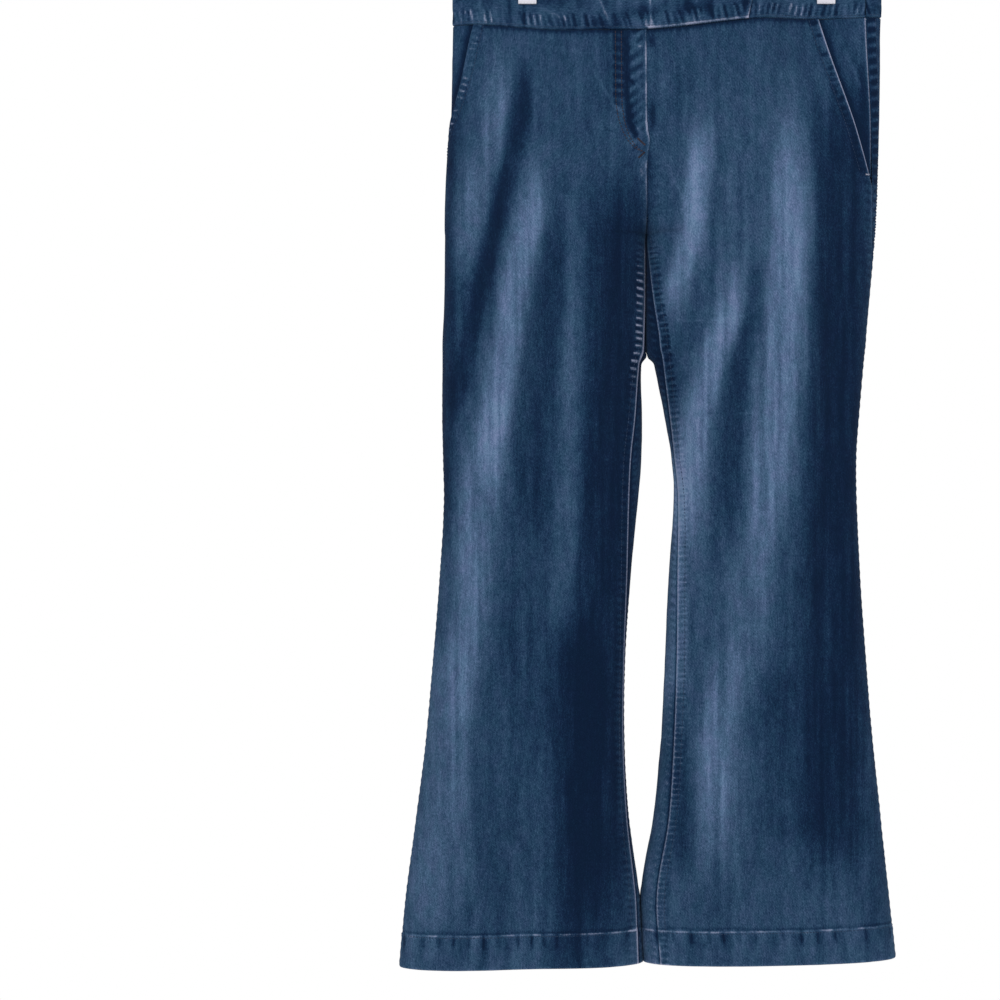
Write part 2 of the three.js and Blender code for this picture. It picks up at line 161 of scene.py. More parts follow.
# Soft folds: each runs down a face from (x, from) to (end_x, to).
FOLD_COLUMNS = ("face", "x", "from_h", "end_x", "to_h", "width", "height")
FOLDS = [
    dict(zip(FOLD_COLUMNS, row))
    for row in [
        ("front", -199, 80, -243, 301, 22, 7),
        ("front", -188, 80, -227, 480, 20, -7),
        ("front", -160, 165, -205, 560, 28, 9),
        ("front", -205, 480, -260, 1010, 30, 7),
        ("front", -144, 320, -139, 790, 26, -5),
        ("front", -95, 230, -95, 640, 24, 5),
        ("front", -160, 900, -160, 1150, 55, -7),
        ("front", 26, 165, 26, 600, 24, 6),
        ("front", 79, 260, 76, 600, 22, -6),
        ("front", 122, 140, 112, 560, 28, 8),
        ("front", 112, 480, 70, 1005, 32, 6),
        ("front", 180, 230, 153, 880, 28, -5),
        ("front", 28, 780, 40, 1060, 28, 5),
        ("back", -190, 110, -215, 520, 26, 8),
        ("back", -140, 150, -150, 640, 24, -6),
        ("back", -95, 240, -110, 700, 28, 7),
        ("back", -205, 560, -225, 1080, 30, 6),
        ("back", 45, 200, 40, 620, 24, -6),
        ("back", 100, 140, 90, 660, 28, 8),
        ("back", 155, 180, 140, 700, 24, -5),
        ("back", 130, 640, 170, 1080, 34, 6),
        ("back", 40, 700, 30, 1060, 28, 5),
    ]
]

# Bands of wash and of painted light and shade: a path of (x, h) down a face, with its half width and
# how much paler it is. The darker bands are painted shade down fold troughs and along each leg's shaded
# side and silhouette; the paler ones are partly real fading and partly painted light on the ridges.
BANDS = [
    ("front", ((-193, 70), (-196, 130), (-205, 180), (-223, 235), (-240, 330)), 17, 0.23),
    ("front", ((-245, 100), (-250, 220), (-252, 400), (-255, 620)), 10, -0.24),
    ("front", ((-74, 40), (-76, 130)), 14, -0.08),
    ("front", ((-169, 92), (-172, 150), (-178, 191), (-187, 224), (-207, 300), (-248, 480)), 11, -0.28),
    ("front", ((-160, 165), (-160, 250), (-180, 345), (-192, 420), (-210, 560)), 17, 0.38),
    ("front", ((-206, 455), (-222, 590), (-230, 700), (-243, 800)), 24, 0.33),
    ("front", ((-238, 720), (-252, 860), (-266, 1000), (-272, 1060)), 30, 0.24),
    ("front", ((-134, 270), (-142, 380), (-155, 470), (-160, 590)), 18, -0.10),
    ("front", ((-111, 190), (-114, 450), (-122, 640), (-148, 780)), 13, 0.16),
    ("front", ((-68, 200), (-70, 340), (-76, 560), (-84, 800), (-90, 1040)), 32, -0.30),
    ("front", ((-112, 700), (-112, 820), (-110, 1150)), 30, -0.20),
    ("front", ((26, 150), (20, 220), (15, 280), (-3, 340), (-10, 390)), 15, 0.36),
    ("front", ((66, 290), (54, 370), (38, 410), (22, 470), (12, 540), (8, 620)), 18, 0.42),
    ("front", ((20, 480), (12, 620), (18, 760), (40, 900), (42, 1000)), 24, 0.14),
    ("front", ((82, 310), (79, 380), (64, 430), (58, 600)), 13, -0.14),
    ("front", ((124, 130), (122, 280), (114, 390), (106, 480), (100, 560), (94, 640)), 25, 0.42),
    ("front", ((0, 500), (-6, 600), (-12, 700), (-14, 860)), 18, 0.16),
    ("front", ((70, 120), (70, 250), (60, 330)), 55, 0.06),
    ("front", ((102, 540), (82, 620), (70, 720), (50, 800), (38, 980)), 26, 0.26),
    ("front", ((176, 120), (174, 350), (170, 560), (168, 860), (172, 1000)), 32, -0.30),
    ("front", ((200, 640), (204, 760), (210, 860)), 24, -0.08),
    ("front", ((110, 760), (118, 860), (120, 940)), 34, -0.10),
    ("front", ((2, 780), (0, 960)), 16, -0.16),
    ("back", ((-190, 110), (-215, 520)), 24, 0.30),
    ("back", ((-95, 260), (-110, 700)), 26, 0.24),
    ("back", ((-205, 560), (-225, 1060)), 28, 0.26),
    ("back", ((100, 150), (90, 660)), 26, 0.30),
    ("back", ((130, 640), (170, 1060)), 32, 0.24),
    ("back", ((-150, 200), (-155, 700)), 22, -0.16),
    ("back", ((45, 220), (40, 640)), 22, -0.16),
    ("back", ((155, 200), (140, 720)), 22, -0.14),
]

# Sharp little creases on a panel, from one (a, h) to another: half width, height, how pale.
CREASES = {
    "front_right": [
        ((59, 88), (38, 128), 1.7, 0.5, 0.30),
        ((38, 128), (19, 145), 1.8, 0.5, 0.25),
        ((20, 142), (6, 164), 1.8, 0.6, 0.34),
        ((24, 136), (12, 166), 3.0, -0.5, -0.45),
        ((22, 96), (7, 113), 1.7, -0.4, -0.40),
        ((15, 103), (4, 115), 1.8, 0.6, 0.40),
        ((17, 60), (3, 66), 2.0, 0.5, 0.30),
        ((46, 157), (33, 161), 1.2, -0.2, -0.12),
        ((93, 300), (49, 306), 1.2, 0.3, 0.20),
        ((33, 386), (8, 391), 1.2, 0.35, 0.25),
        ((150, 60), (60, 70), 2.5, 0.4, 0.10),
    ],
    "front_left": [
        ((19, 374), (60, 377), 1.2, 0.35, 0.3),
        ((60, 377), (104, 371), 1.2, 0.35, 0.25),
        ((50, 479), (104, 476), 1.2, 0.3, 0.2),
        ((12, 180), (44, 250), 2.2, 0.5, 0.15),
        ((96, 96), (100, 128), 2.0, 0.4, 0.1),
    ],
    "waistband_right": [
        ((52, 8), (40, 40), 1.8, 0.7, 0.45),
        ((-3, 0), (-4, 44), 1.6, 0.6, 0.5),
        ((-72, 2), (-68, 40), 3.0, 0.8, -0.2),
        ((186, 0), (184, 44), 1.6, 0.5, 0.2),
        ((120, 20), (84, 34), 2.2, 0.5, 0.2),
    ],
}


def mix(a, b, k):
    return a + (b - a) * k


def clamp(x, low=0.0, high=1.0):
    return np.clip(x, low, high)


def smoothstep(start, end, x):
    k = clamp((x - start) / (end - start))
    return k * k * (3 - 2 * k)


def section(column, h):
    """A column of the sections at height h, by a smooth curve through its rows."""
    heights, values = SECTIONS["h"], SECTIONS[column]
    last = len(heights) - 1
    ahead = np.minimum(np.arange(last + 1) + 1, last)
    behind = np.maximum(np.arange(last + 1) - 1, 0)
    slope = (values[ahead] - values[behind]) / (heights[ahead] - heights[behind])
    i = np.clip(np.searchsorted(heights[1:], h), 0, last - 1)
    run = heights[i + 1] - heights[i]
    k = clamp((h - heights[i]) / run)
    return (
        values[i] * (1 - k) ** 2 * (1 + 2 * k)
        + slope[i] * run * k * (1 - k) ** 2
        + values[i + 1] * k * k * (3 - 2 * k)
        + slope[i + 1] * run * k * k * (k - 1)
    )


def parting(h):
    """0 where the two halves are one trunk, 1 from the crotch down."""
    k = clamp((h - PARTING_FROM) / (CROTCH - PARTING_FROM))
    return 1 - np.sqrt(1 - k * k)


def round_off(k):
    return (1 - clamp(k) ** SQUARENESS) ** (1 / SQUARENESS)


def fullness(u, h):
    """The share of the full depth at share u of the way from a half's inner limit to its outer."""
    inner_round = round_off(1 - 2 * u)
    flat_to = 0.5 * smoothstep(100, 330, h)
    outer_round = round_off((u - flat_to) / (1 - flat_to))
    return outer_round * (1 - parting(h) * (1 - inner_round))


def pinch(x, h):
    """1 under a clip, fading sideways and downwards."""
    aside = np.minimum(np.abs(x - CLIP_X), np.abs(x + CLIP_X))
    return (1 - smoothstep(14, 78, aside)) * (1 - smoothstep(28, 175, h))


def fold_height(face, x, h):
    total = np.zeros_like(x)
    for fold in FOLDS:
        if fold["face"] != face or not fold["from_h"] <= h <= fold["to_h"]:
            continue
        k = (h - fold["from_h"]) / (fold["to_h"] - fold["from_h"])
        off = (x - mix(fold["x"], fold["end_x"], k)) / fold["width"]
        ends = smoothstep(0, 0.3, k) * (1 - smoothstep(0.7, 1, k))
        total = total + fold["height"] * np.exp(-off * off) * ends
    return total


def height_to_z(x, h):
    reach = clamp((x - DIP_CENTRE) / DIP_REACH, -1, 1)
    fade = 1 - smoothstep(BAND_HEIGHT, DIP_FADES_BY, h)
    dip = DIP * np.cos(np.pi / 2 * reach) ** 2 * fade
    return BAND_TOP_Z - h + LEAN * (x - LEAN_FROM) - dip


FACE_SAMPLES = 360
NEAR_SEAM = 24


@lru_cache(maxsize=None)
def outline(side, h):
    """One half's level outline: x, y and running length, then where the inseam lies, the whole
    length, and the length from the inseam to the outer limit."""
    outward = 1 if side == "left" else -1
    outer_x = section(side + "_out", h)
    front_x = section(side + "_in", h)
    back_x = mix(CENTRE_BACK, front_x, smoothstep(CENTRE_BACK_FROM, CENTRE_BACK_TO, h))
    deep = section("deep", h)
    u = (1 - np.cos(np.pi * np.linspace(0, 1, FACE_SAMPLES + 1))) / 2
    full = fullness(u, h)

    def face(name, direction, inner_x):
        x = mix(inner_x, outer_x, u)
        turn = deep * abs(full[NEAR_SEAM] - full[0])
        reach = DENIM / 2 * turn / math.hypot(turn, x[NEAR_SEAM] - x[0])
        x = x + outward * (0.8 * SEAM_GAP + reach) * (1 - u)
        free = deep * full + fold_height(name, x, h) * smoothstep(0, 0.7, full)
        pressed = (1.6 + 1.1 * smoothstep(30, 60, h)) * smoothstep(0, 0.3, full)
        return x, direction * mix(free, pressed, pinch(x, h))

    (fx, fy), (bx, by) = face("front", -1, front_x), face("back", 1, back_x)
    x, y = np.append(fx, bx[::-1][1:]), np.append(fy, by[::-1][1:])
    run = np.append(0, np.cumsum(np.hypot(np.diff(x), np.diff(y))))
    inset = 0.0 if h < CROTCH else max(0.0, float(section(side + "_inset", h)))
    start = float(np.interp(inset, np.abs(x[:FACE_SAMPLES] - x[0]), run[:FACE_SAMPLES]))
    return x, y, run, start, float(run[-1]), float(run[FACE_SAMPLES]) - start


def on_half(side, a, h):
    """Points of the cloth's middle surface at running lengths a, all at height h."""
    x, y, run, start, total, _ = outline(side, round(float(h), 4))
    place = clamp(a, 0, total) if h < CROTCH else (a + start) % total
    px, py = np.interp(place, run, x), np.interp(place, run, y)
    return np.stack([px, py, height_to_z(px, h)], axis=-1)


def normal_on_half(side, a, h):
    step, rise = 2.5, 3
    share = a / outline(side, round(float(h), 4))[4]
    above = on_half(side, share * outline(side, round(float(h - rise), 4))[4], h - rise)
    below = on_half(side, share * outline(side, round(float(h + rise), 4))[4], h + rise)
    normal = np.cross(on_half(side, a + step, h) - on_half(side, a - step, h), below - above)
    normal /= np.maximum(np.linalg.norm(normal, axis=-1, keepdims=True), 1e-9)
    return -normal if side == "left" else normal


OTHER = {"left": "right", "right": "left"}


def cloth(side, a, h):
    """Points and outward normals at running lengths a and height h, across the centre seams too."""
    total = outline(side, round(float(h), 4))[4]
    points, normals = on_half(side, a, h), normal_on_half(side, a, h)
    if h < CROTCH:
        past = a > total
        across = np.where(past, outline(OTHER[side], round(float(h), 4))[4] - (a - total), -a)
        over = past | (a < 0)
        if over.any():
            points[over] = on_half(OTHER[side], across[over], h)
            normals[over] = normal_on_half(OTHER[side], across[over], h)
    return points, normals


# The outer limit and the whole length round each half, for every height.
LEVELS = np.arange(-4.0, HEM + 5, 2.0)
TO_SIDE = {s: np.array([outline(s, round(float(h), 4))[5] for h in LEVELS]) for s in OTHER}
ROUND = {s: np.array([outline(s, round(float(h), 4))[4] for h in LEVELS]) for s in OTHER}
INSET = {s: np.array([outline(s, round(float(h), 4))[3] for h in LEVELS]) for s in OTHER}


def side_seam(side, h):
    return np.interp(h, LEVELS, TO_SIDE[side]) + section(side + "_seam", h)


def all_round(side, h):
    return np.interp(h, LEVELS, ROUND[side])


def together(side, past_inseam, h):
    """How far the cloth comes out at a leg's inner limit, to lie against the other leg."""
    apart = section("left_in", h) - section("right_in", h) + 1.6 * SEAM_GAP
    at_crotch = smoothstep(CROTCH - 14, CROTCH - 2, h) * (1 - smoothstep(408, 420, h))
    held = at_crotch + smoothstep(992, 1006, h)
    from_limit = past_inseam + np.interp(h, LEVELS, INSET[side])
    return (apart / 2 - BUTT) * held * bump(from_limit / 12)


NEAR_INSEAM = np.arange(0.0, 61.0)


def sideways(side, h):
    x, _, run, start, _, _ = outline(side, round(float(h), 4))
    return np.abs(np.interp(NEAR_INSEAM + start, run, x) - np.interp(start, run, x))


SIDEWAYS = {s: np.stack([sideways(s, h) for h in LEVELS]) for s in OTHER}


def from_inseam(side, a, h):
    """How far a place lies sideways from the inseam, as the round of the leg is seen."""
    known = SIDEWAYS[side]
    up = clamp((h - LEVELS[0]) / (LEVELS[1] - LEVELS[0]), 0, len(LEVELS) - 1.001)
    along = clamp(a, 0, len(NEAR_INSEAM) - 1.001)
    i, j = up.astype(int), along.astype(int)
    above = mix(known[i, j], known[i, j + 1], along - j)
    below = mix(known[i + 1, j], known[i + 1, j + 1], along - j)
    return mix(above, below, up - i) + np.maximum(a - along, 0)


def pocket_opening(side, h):
    opening, bottom = POCKETS[side]["opening"], POCKETS[side]["bottom"]
    return opening * clamp((bottom - h) / (bottom - BAND_HEIGHT))


def fly_underlap(h):
    return FLY_UNDERLAP * clamp((FLY_BOTTOM - 2 - h) / 18)


def fly_lift(a, h):
    across = 1 - smoothstep(FLY_WIDTH, FLY_WIDTH + FLY_SLOPE, a)
    return LAYER * across * (1 - smoothstep(FLY_BOTTOM, FLAP_FADES_BY, h))


def soft_noise(seed, x, y):
    """Smooth noise from -1 to 1 that changes over a unit of x and y."""
    lattice = np.random.default_rng(seed).uniform(-1, 1, (64, 64))
    x, y = np.broadcast_arrays(np.asarray(x, float), np.asarray(y, float))
    i, j = np.floor(x).astype(int), np.floor(y).astype(int)
    fx, fy = smoothstep(0, 1, x - i), smoothstep(0, 1, y - j)

    def at(di, dj):
        return lattice[(i + di) % 64, (j + dj) % 64]

    return mix(mix(at(0, 0), at(1, 0), fx), mix(at(0, 1), at(1, 1), fx), fy)


def bump(x):
    return np.exp(-x * x)


def plateau(x):
    """As bump, with a flatter top and crisper edges."""
    return np.exp(-np.abs(x) ** 3)


def turned(distance, radius=TURN):
    """1 at a turned edge, falling to 0 one radius in, as a quarter round."""
    k = clamp(distance / radius)
    return 1 - np.sqrt(1 - (1 - k) ** 2)


def puckers(along, across, pitch, slant, seed, sharpness=1.4):
    """Gathers along a seam, never quite even: above 0 on the ridges, below 0 in the furrows."""
    wander = soft_noise(seed, along / (3.5 * pitch), across / 50)
    ridge = 0.5 + 0.5 * np.cos(2 * np.pi * (along / pitch + slant * across / pitch + 0.5 * wander))
    vary = 0.7 + 0.3 * soft_noise(seed + 1, along / (1.7 * pitch), across / 14)
    return (1.6 * ridge**sharpness - 0.6) * vary


def strip(x, start, end, soft):
    """1 between start and end, with soft edges."""
    return smoothstep(start - soft, start + soft, x) * (1 - smoothstep(end - soft, end + soft, x))


def crease(a, h, start, end, width):
    (a0, h0), (a1, h1) = start, end
    length = math.hypot(a1 - a0, h1 - h0)
    along = ((a - a0) * (a1 - a0) + (h - h0) * (h1 - h0)) / length**2
    across = ((a - a0) * (h1 - h0) - (h - h0) * (a1 - a0)) / length
    return bump(across / width) * smoothstep(-0.1, 0.2, along) * (1 - smoothstep(0.8, 1.1, along))


def creased(name, a, h):
    """Height and paleness of a panel's sharp creases."""
    height, pale = 0.0, 0.0
    for start, end, width, rise, paleness in CREASES.get(name, ()):
        line = crease(a, h, start, end, width)
        height, pale = height + rise * line, pale + paleness * line
    return height, pale


# Layers of smooth noise: seed, amount, size across and size down.
RUMPLE = ((0, 0.45, 24, 85), (5, 0.22, 9, 30), (9, 0.10, 4.5, 10))
STREAKS = (
    (0, 0.03, 30, 110),
    (3, 0.035, 8, 60),
    (11, 0.05, 6, 140),
    (14, 0.05, 4, 22),
    (6, 0.035, 5, 9),
)


def layered(seed, x, h, layers):
    return sum(
        amount * soft_noise(seed + more, x / across, h / down)
        for more, amount, across, down in layers
    )


def rumple(seed, a, h):
    """The slight unevenness of washed cloth, lost where it is sewn to the waistband."""
    return layered(seed, a, h, RUMPLE) * smoothstep(44, 58, h)


def washed_and_shaded(face, x, h, seed):
    """How pale the cloth is, from 0, deep indigo, to 1, pale: its wash fading together with painted
    light and shade along the folds and edges.
    """
    level = np.interp(h, (44, 200, 420, 700, 930, 1076), (0.43, 0.42, 0.41, 0.38, 0.41, 0.47))
    streaky = 1 + 0.32 * soft_noise(seed + 12, x / 3.6, h / 80)
    for band_face, path, width, amount in BANDS:
        if band_face != face:
            continue
        path_x, path_h = zip(*path)
        centre = np.interp(h, path_h, path_x)
        soften = (path_h[-1] - path_h[0]) * (0.26 if amount > 0 else 0.10)
        ends = smoothstep(path_h[0] - 20, path_h[0] + soften, h)
        ends = ends * (1 - smoothstep(path_h[-1] - soften, path_h[-1] + 20, h))
        level = level + amount * plateau((x - centre) / width) * ends * streaky
    return level + layered(seed, x, h, STREAKS)


# How each panel's surface lies. Each returns the height over the panel's own place, and the wear
# together with painted light and shade: paler for wear and painted light, darker for painted shade.


def fly_edge(h):
    """The flap's edge, which swings out at its foot."""
    return BUTT - 2.4 * bump((h - 172) / 11)


# Gathers along each front's inseam: pitch, and where they start and end, seen sideways.
INSEAM_GATHERS = {"right": (8.2, 2.7, 10.4), "left": (6.4, 1.6, 10.8)}


def nicks(along, pitch, width, seed):
    """Narrow furrows about a pitch apart, at uneven places and of uneven depth."""
    phase = along / pitch + 0.55 * soft_noise(seed, along / (1.5 * pitch), 0.5)
    off = (phase - np.round(phase)) * pitch
    return bump(off / width) * clamp(0.6 + 0.6 * soft_noise(seed + 1, along / (1.1 * pitch), 3.5))


def inseam_gathers(side, a, h, seed):
    pitch, start, end = INSEAM_GATHERS[side]
    seen = from_inseam(side, a, h)
    on_leg = smoothstep(CROTCH - 6, CROTCH + 24, h)
    window = strip(seen, start, end, 1.1) * on_leg
    rungs = puckers(h, seen, pitch, 0.12, seed + 11) * window
    edge_line = bump((seen - 0.9) / 1.1) * on_leg
    if side == "right":
        upper = bump((h - 372) / 74)
        wear_and_shading = (0.26 + 0.80 * upper) * rungs + (0.02 + 0.16 * upper) * window
        wear_and_shading = wear_and_shading + (0.70 + 0.20 * upper) * edge_line
    else:
        upper = smoothstep(296, 350, h) * (1 - smoothstep(425, 470, h))
        notches = nicks(h + 0.6 * seen, 11.0, 2.0, seed + 17) * window
        # Painted shade: the band beside the left inseam is darkened as the shadow of the seam's ridge,
        # with darker nicks in its furrows.
        wear_and_shading = (0.40 - 0.10 * upper) * rungs - upper * (0.14 * window + 0.60 * notches)
        wear_and_shading = wear_and_shading + 0.14 * window * smoothstep(450, 490, h)
        wear_and_shading = wear_and_shading + 0.55 * edge_line
    return (0.5 + 0.5 * upper) * rungs, wear_and_shading


def fly_surface(a, h):
    """The flap: its worn edge, the gathers, and the trough beside the curved stitching, darkened with
    painted shade.
    """
    from_edge = a - fly_edge(h)
    in_fly = 1 - smoothstep(FLY_BOTTOM + 4, FLY_BOTTOM + 14, h)
    patchy = clamp(0.65 + 0.75 * soft_noise(47, a / 7, h / 15))
    gathers = puckers(h - 0.85 * a, a, 13.5, 0.0, 39) * patchy * strip(a, 3, 19, 3) * in_fly
    trough_at = 22 - 8 * smoothstep(112, 168, h)
    trough = bump((a - trough_at) / 3.6) * (1 - smoothstep(150, 174, h)) * smoothstep(44, 52, h)
    rows = strip(a, 25, 36.5, 1.8) * (1 - smoothstep(112, 150, h))
    rungs = puckers(h, a, 10.5, 0.1, 41) * rows
    height = 0.8 * gathers - 0.55 * trough + 0.45 * rungs
    # Painted shade darkens the trough and the gathers' furrows; the gathers' ridges are paler, partly
    # from wear and partly painted light.
    wear_and_shading = 0.46 * gathers - 0.42 * trough + 0.30 * rungs - 0.22 * rows
    glint = 0.58 + 0.22 * soft_noise(49, a / 9, h / 11)
    wear_and_shading = wear_and_shading + glint * bump((from_edge - 0.9) / 1.5) * in_fly
    foot = bump((a - 17) / 5) * bump((h - 172) / 8)
    wear_and_shading = wear_and_shading + 0.32 * foot * (0.7 + 0.5 * soft_noise(43, a / 4, h / 4))
    felled = smoothstep(FLY_BOTTOM + 6, FLY_BOTTOM + 20, h)
    felled = felled * (1 - smoothstep(CROTCH - 6, CROTCH + 16, h))
    height = height + 0.5 * (1 - smoothstep(8, 13, a)) * felled
    soft = 0.30 + 0.18 * soft_noise(45, a / 6, h / 9)
    return height, wear_and_shading + (soft * strip(a, 0.5, 9, 2) + 0.3 * bump((a - 0.9) / 1.6)) * felled


def seam_underlap(h):
    """How far the left front runs on under the right one, below the fly."""
    return 6 * (1 - smoothstep(CROTCH - 22, CROTCH - 8, h))


def beside_fly(a, h):
    """The left front beside the flap and the felled seam below it, and its edge tucked under, with
    painted shadows under the tab, beside the flap's foot and beside the seam.
    """
    seat = smoothstep(FLY_BOTTOM - 4, FLY_BOTTOM + 12, h)
    seat = seat * (1 - smoothstep(CROTCH + 30, CROTCH + 60, h))
    # Painted shadows: under the waistband's tab, beside the flap's foot, and along the lapped edge of
    # the felled seam.
    under_tab = 0.36 * bump((a - 4) / 4) * bump((h - 57) / 7)
    beside_foot = 0.32 * bump((a - 6) / 3.5) * bump((h - 141) / 13)
    shade = under_tab + beside_foot + 0.15 * bump(a / 4.6) * seat
    gathers = puckers(h, a, 10.0, 0.3, 59) * strip(a, 7, 15, 2) * seat
    under_flap = smoothstep(FLY_BOTTOM, FLAP_FADES_BY, h) * (1 - smoothstep(CROTCH - 12, CROTCH - 4, h))
    tucked = LAYER * under_flap * (1 - smoothstep(-0.8, 1.2, a))
    return 0.35 * gathers - 0.25 * bump(a / 3.5) * seat - tucked, 0.10 * gathers - shade


def front_surface(side, a, h):
    seed = 20 if side == "right" else 40
    edge = side_seam(side, h) - pocket_opening(side, h) - a
    foot = POCKETS[side]["tack"]
    in_pocket = 1 - smoothstep(foot - 6, foot + 2, h)
    height = rumple(seed, a, h) * smoothstep(2, 16, a) * smoothstep(0, 14, edge)
    inseam, wear_and_shading = inseam_gathers(side, a, h, seed)
    mottled = clamp(0.6 + 0.8 * soft_noise(seed + 27, edge / 5, h / 7))
    mouth = puckers(h, edge, 7.2, -0.3, seed + 13) * mottled * strip(edge, 1.6, 10.5, 1.4) * in_pocket
    flank = puckers(h, edge, 9.4, 0.2, seed + 15) * strip(edge, 2, 10, 1.5) * (1 - in_pocket)
    hip = puckers(a, h, 7.0, 0.2, seed + 17) * bump((h - WAIST_SEAM - 5) / 4)
    height = height + inseam + 0.6 * mouth + 0.4 * flank + 0.3 * hip
    # The last term is a painted shadow in a narrow line under the waistband's lower edge.
    wear_and_shading = wear_and_shading + 0.22 * flank + 0.12 * hip - 0.30 * bump((h - WAIST_SEAM - 1) / 3.4)
    if side == "right":
        wear_and_shading = wear_and_shading + 0.52 * mouth + (0.12 + 0.14 * mottled) * strip(edge, 0, 9, 1.5) * in_pocket
    else:
        wear_and_shading = wear_and_shading + 0.34 * mouth - 0.22 * mottled * strip(edge, 3, 13, 2) * in_pocket
        wear_and_shading = wear_and_shading + 0.80 * bump((edge - 0.8) / 1.3) * in_pocket
    wear_and_shading = wear_and_shading + 0.42 * bump((edge - 0.8) / 1.6) * (1 - in_pocket)
    fly_height, fly_wear_and_shading = fly_surface(a, h) if side == "right" else beside_fly(a, h)
    lines, pale = creased(f"front_{side}", a, h)
    lift = fly_lift(a, h) if side == "right" else 0.0
    height = height + fly_height + lines + together(side, a, h)
    return lift + height, wear_and_shading + fly_wear_and_shading + pale


def back_surface(side, a, h):
    seed = 60 if side == "right" else 80
    seam = a - side_seam(side, h)
    middle = all_round(side, h) - a
    on_leg = smoothstep(CROTCH - 6, CROTCH + 20, h)
    height = rumple(seed, a, h) * smoothstep(0, 14, seam) * smoothstep(2, 16, middle)
    flank = puckers(h, seam, 11.0, 0.2, seed + 11) * strip(seam, 1.5, 11, 1.5)
    inseam = puckers(h, middle, 8.2, 0.25, seed + 13) * strip(middle, 2, 9, 1.5)
    height = height + 0.5 * flank + 0.4 * inseam + together(side, -middle, h)
    below_pocket = smoothstep(215, 240, h) if side == "left" else 0.0
    wear_and_shading = 0.50 * flank + 0.22 * inseam - 0.34 * bump(middle / 1.8) * on_leg
    wear_and_shading = wear_and_shading - 0.20 * strip(seam, 0, 10, 2) * (1 - below_pocket)
    shaded = 0.34 if side == "left" else 0.10
    wear_and_shading = wear_and_shading - shaded * bump(middle / 16) * on_leg * (1 - smoothstep(410, 480, h))
    if side == "left":
        wear_and_shading = wear_and_shading - 0.10 * strip(seam, 0.5, 16, 2) * (1 - below_pocket)
        wear_and_shading = wear_and_shading + 0.24 * strip(middle, 2, 18, 3) * smoothstep(690, 760, h)
    return height, wear_and_shading


def facing_surface(side, a, h):
    edge = side_seam(side, h) - pocket_opening(side, h) - SEAM_GAP / 2
    seam = side_seam(side, h) - a
    lift = LAYER * (smoothstep(4, 26, a - edge) - 1)
    height = 0.12 * soft_noise(101, a / 9, h / 30) * smoothstep(6, 20, a - edge)
    # The pale line by the side seam is wear; the darkening just inside the pocket's edge is a painted
    # shadow.
    wear_and_shading = 0.70 * bump((seam - 1.0) / 1.3) - 0.44 * bump((a - edge) / 5.2)
    slant = crease(a, h, (side_seam(side, 80) - 26, 74), (side_seam(side, 130) - 10, 124), 2.2)
    if side == "left":
        wear_and_shading = wear_and_shading - 0.24 * bump((seam - 9) / 7) * smoothstep(78, 115, h)
    return lift + height + 0.25 * slant, wear_and_shading + 0.25 * slant


def band_surface(name, a, h):
    """The waistband, roped along its lower edge by its stitching."""
    seed = {"waistband_right": 120, "waistband_left": 140, "waistband_back": 160}[name]
    uneven = clamp(0.62 + 0.7 * soft_noise(seed + 8, a / 11, h / 30))
    roped = puckers(a, h, 6.9, 0.22, seed) * uneven * strip(h, 28, 41.5, 2.5)
    nicked = nicks(a + 0.3 * h, 15.0, 1.5, seed + 9) * strip(h, 26, 42, 2)
    upper = puckers(a, h, 9.0, -0.2, seed + 2) * bump((h - 6) / 5)
    patchy = soft_noise(seed + 6, a / 26, h / 13) + 0.6 * soft_noise(seed + 7, a / 9, h / 16)
    height = 0.75 * roped - 0.4 * nicked + 0.3 * upper + 0.3 * soft_noise(seed + 4, a / 22, h / 20)
    wear_and_shading = 0.74 * roped - 0.46 * nicked + 0.20 * upper + 0.24 * patchy + 0.10 * bump((h - 37) / 5)
    wear_and_shading = wear_and_shading + 0.45 * bump(h / 2.2) + 0.18 * bump((h - BAND_HEIGHT + 2) / 1.6)
    lift = 0.0
    if name == "waistband_right":
        lift = BAND_LAYER * (1 - smoothstep(BAND_UNDERLAP, BAND_UNDERLAP + 36, a))
        on_tab = 1 - smoothstep(-3, 1, a)
        tab_end = TAB_LENGTH - TAB_CORNER * smoothstep(BAND_HEIGHT / 2, BAND_HEIGHT, h)
        wear_and_shading = wear_and_shading + 0.55 * bump((BAND_HEIGHT - 0.8 - h) / 1.5) * on_tab
        wear_and_shading = wear_and_shading + 0.65 * bump((a + tab_end) / 2.0) - 0.30 * bump((a + tab_end - 7) / 3)
        wear_and_shading = wear_and_shading + 0.16 * bump((a - 169) / 15) * bump((h - 31) / 8)
        wear_and_shading = wear_and_shading - 0.14 * bump((a - 63) / 18) * bump((h - 38) / 9)
        wear_and_shading = wear_and_shading - 0.25 * (bump((a - 152) / 2.2) + bump((a - 136) / 2.2))
    lines, pale = creased(name, a, h)
    return lift + height + lines, wear_and_shading + pale


# Grids of cloth.

FIRST_STEPS = np.array([0, 0.35, 0.8, 1.3, 1.9, 3.2, 5.0])
ROWS_STEP = 2.05
COLUMNS = {"front": 108, "back": 99}


def refined(start, end, middle):
    """Places from start to end, closer at both ends, where the cloth turns over."""
    reach = FIRST_STEPS[-1]
    inside = np.linspace(start + reach, end - reach, middle + 1)[1:-1]
    return np.concatenate([start + FIRST_STEPS, inside, end - FIRST_STEPS[::-1]])


def rows_between(start, end, step):
    """As refined, with a whole number of threes between the rows."""
    return refined(start, end, 3 * max(1, round((end - start) / step / 3)))


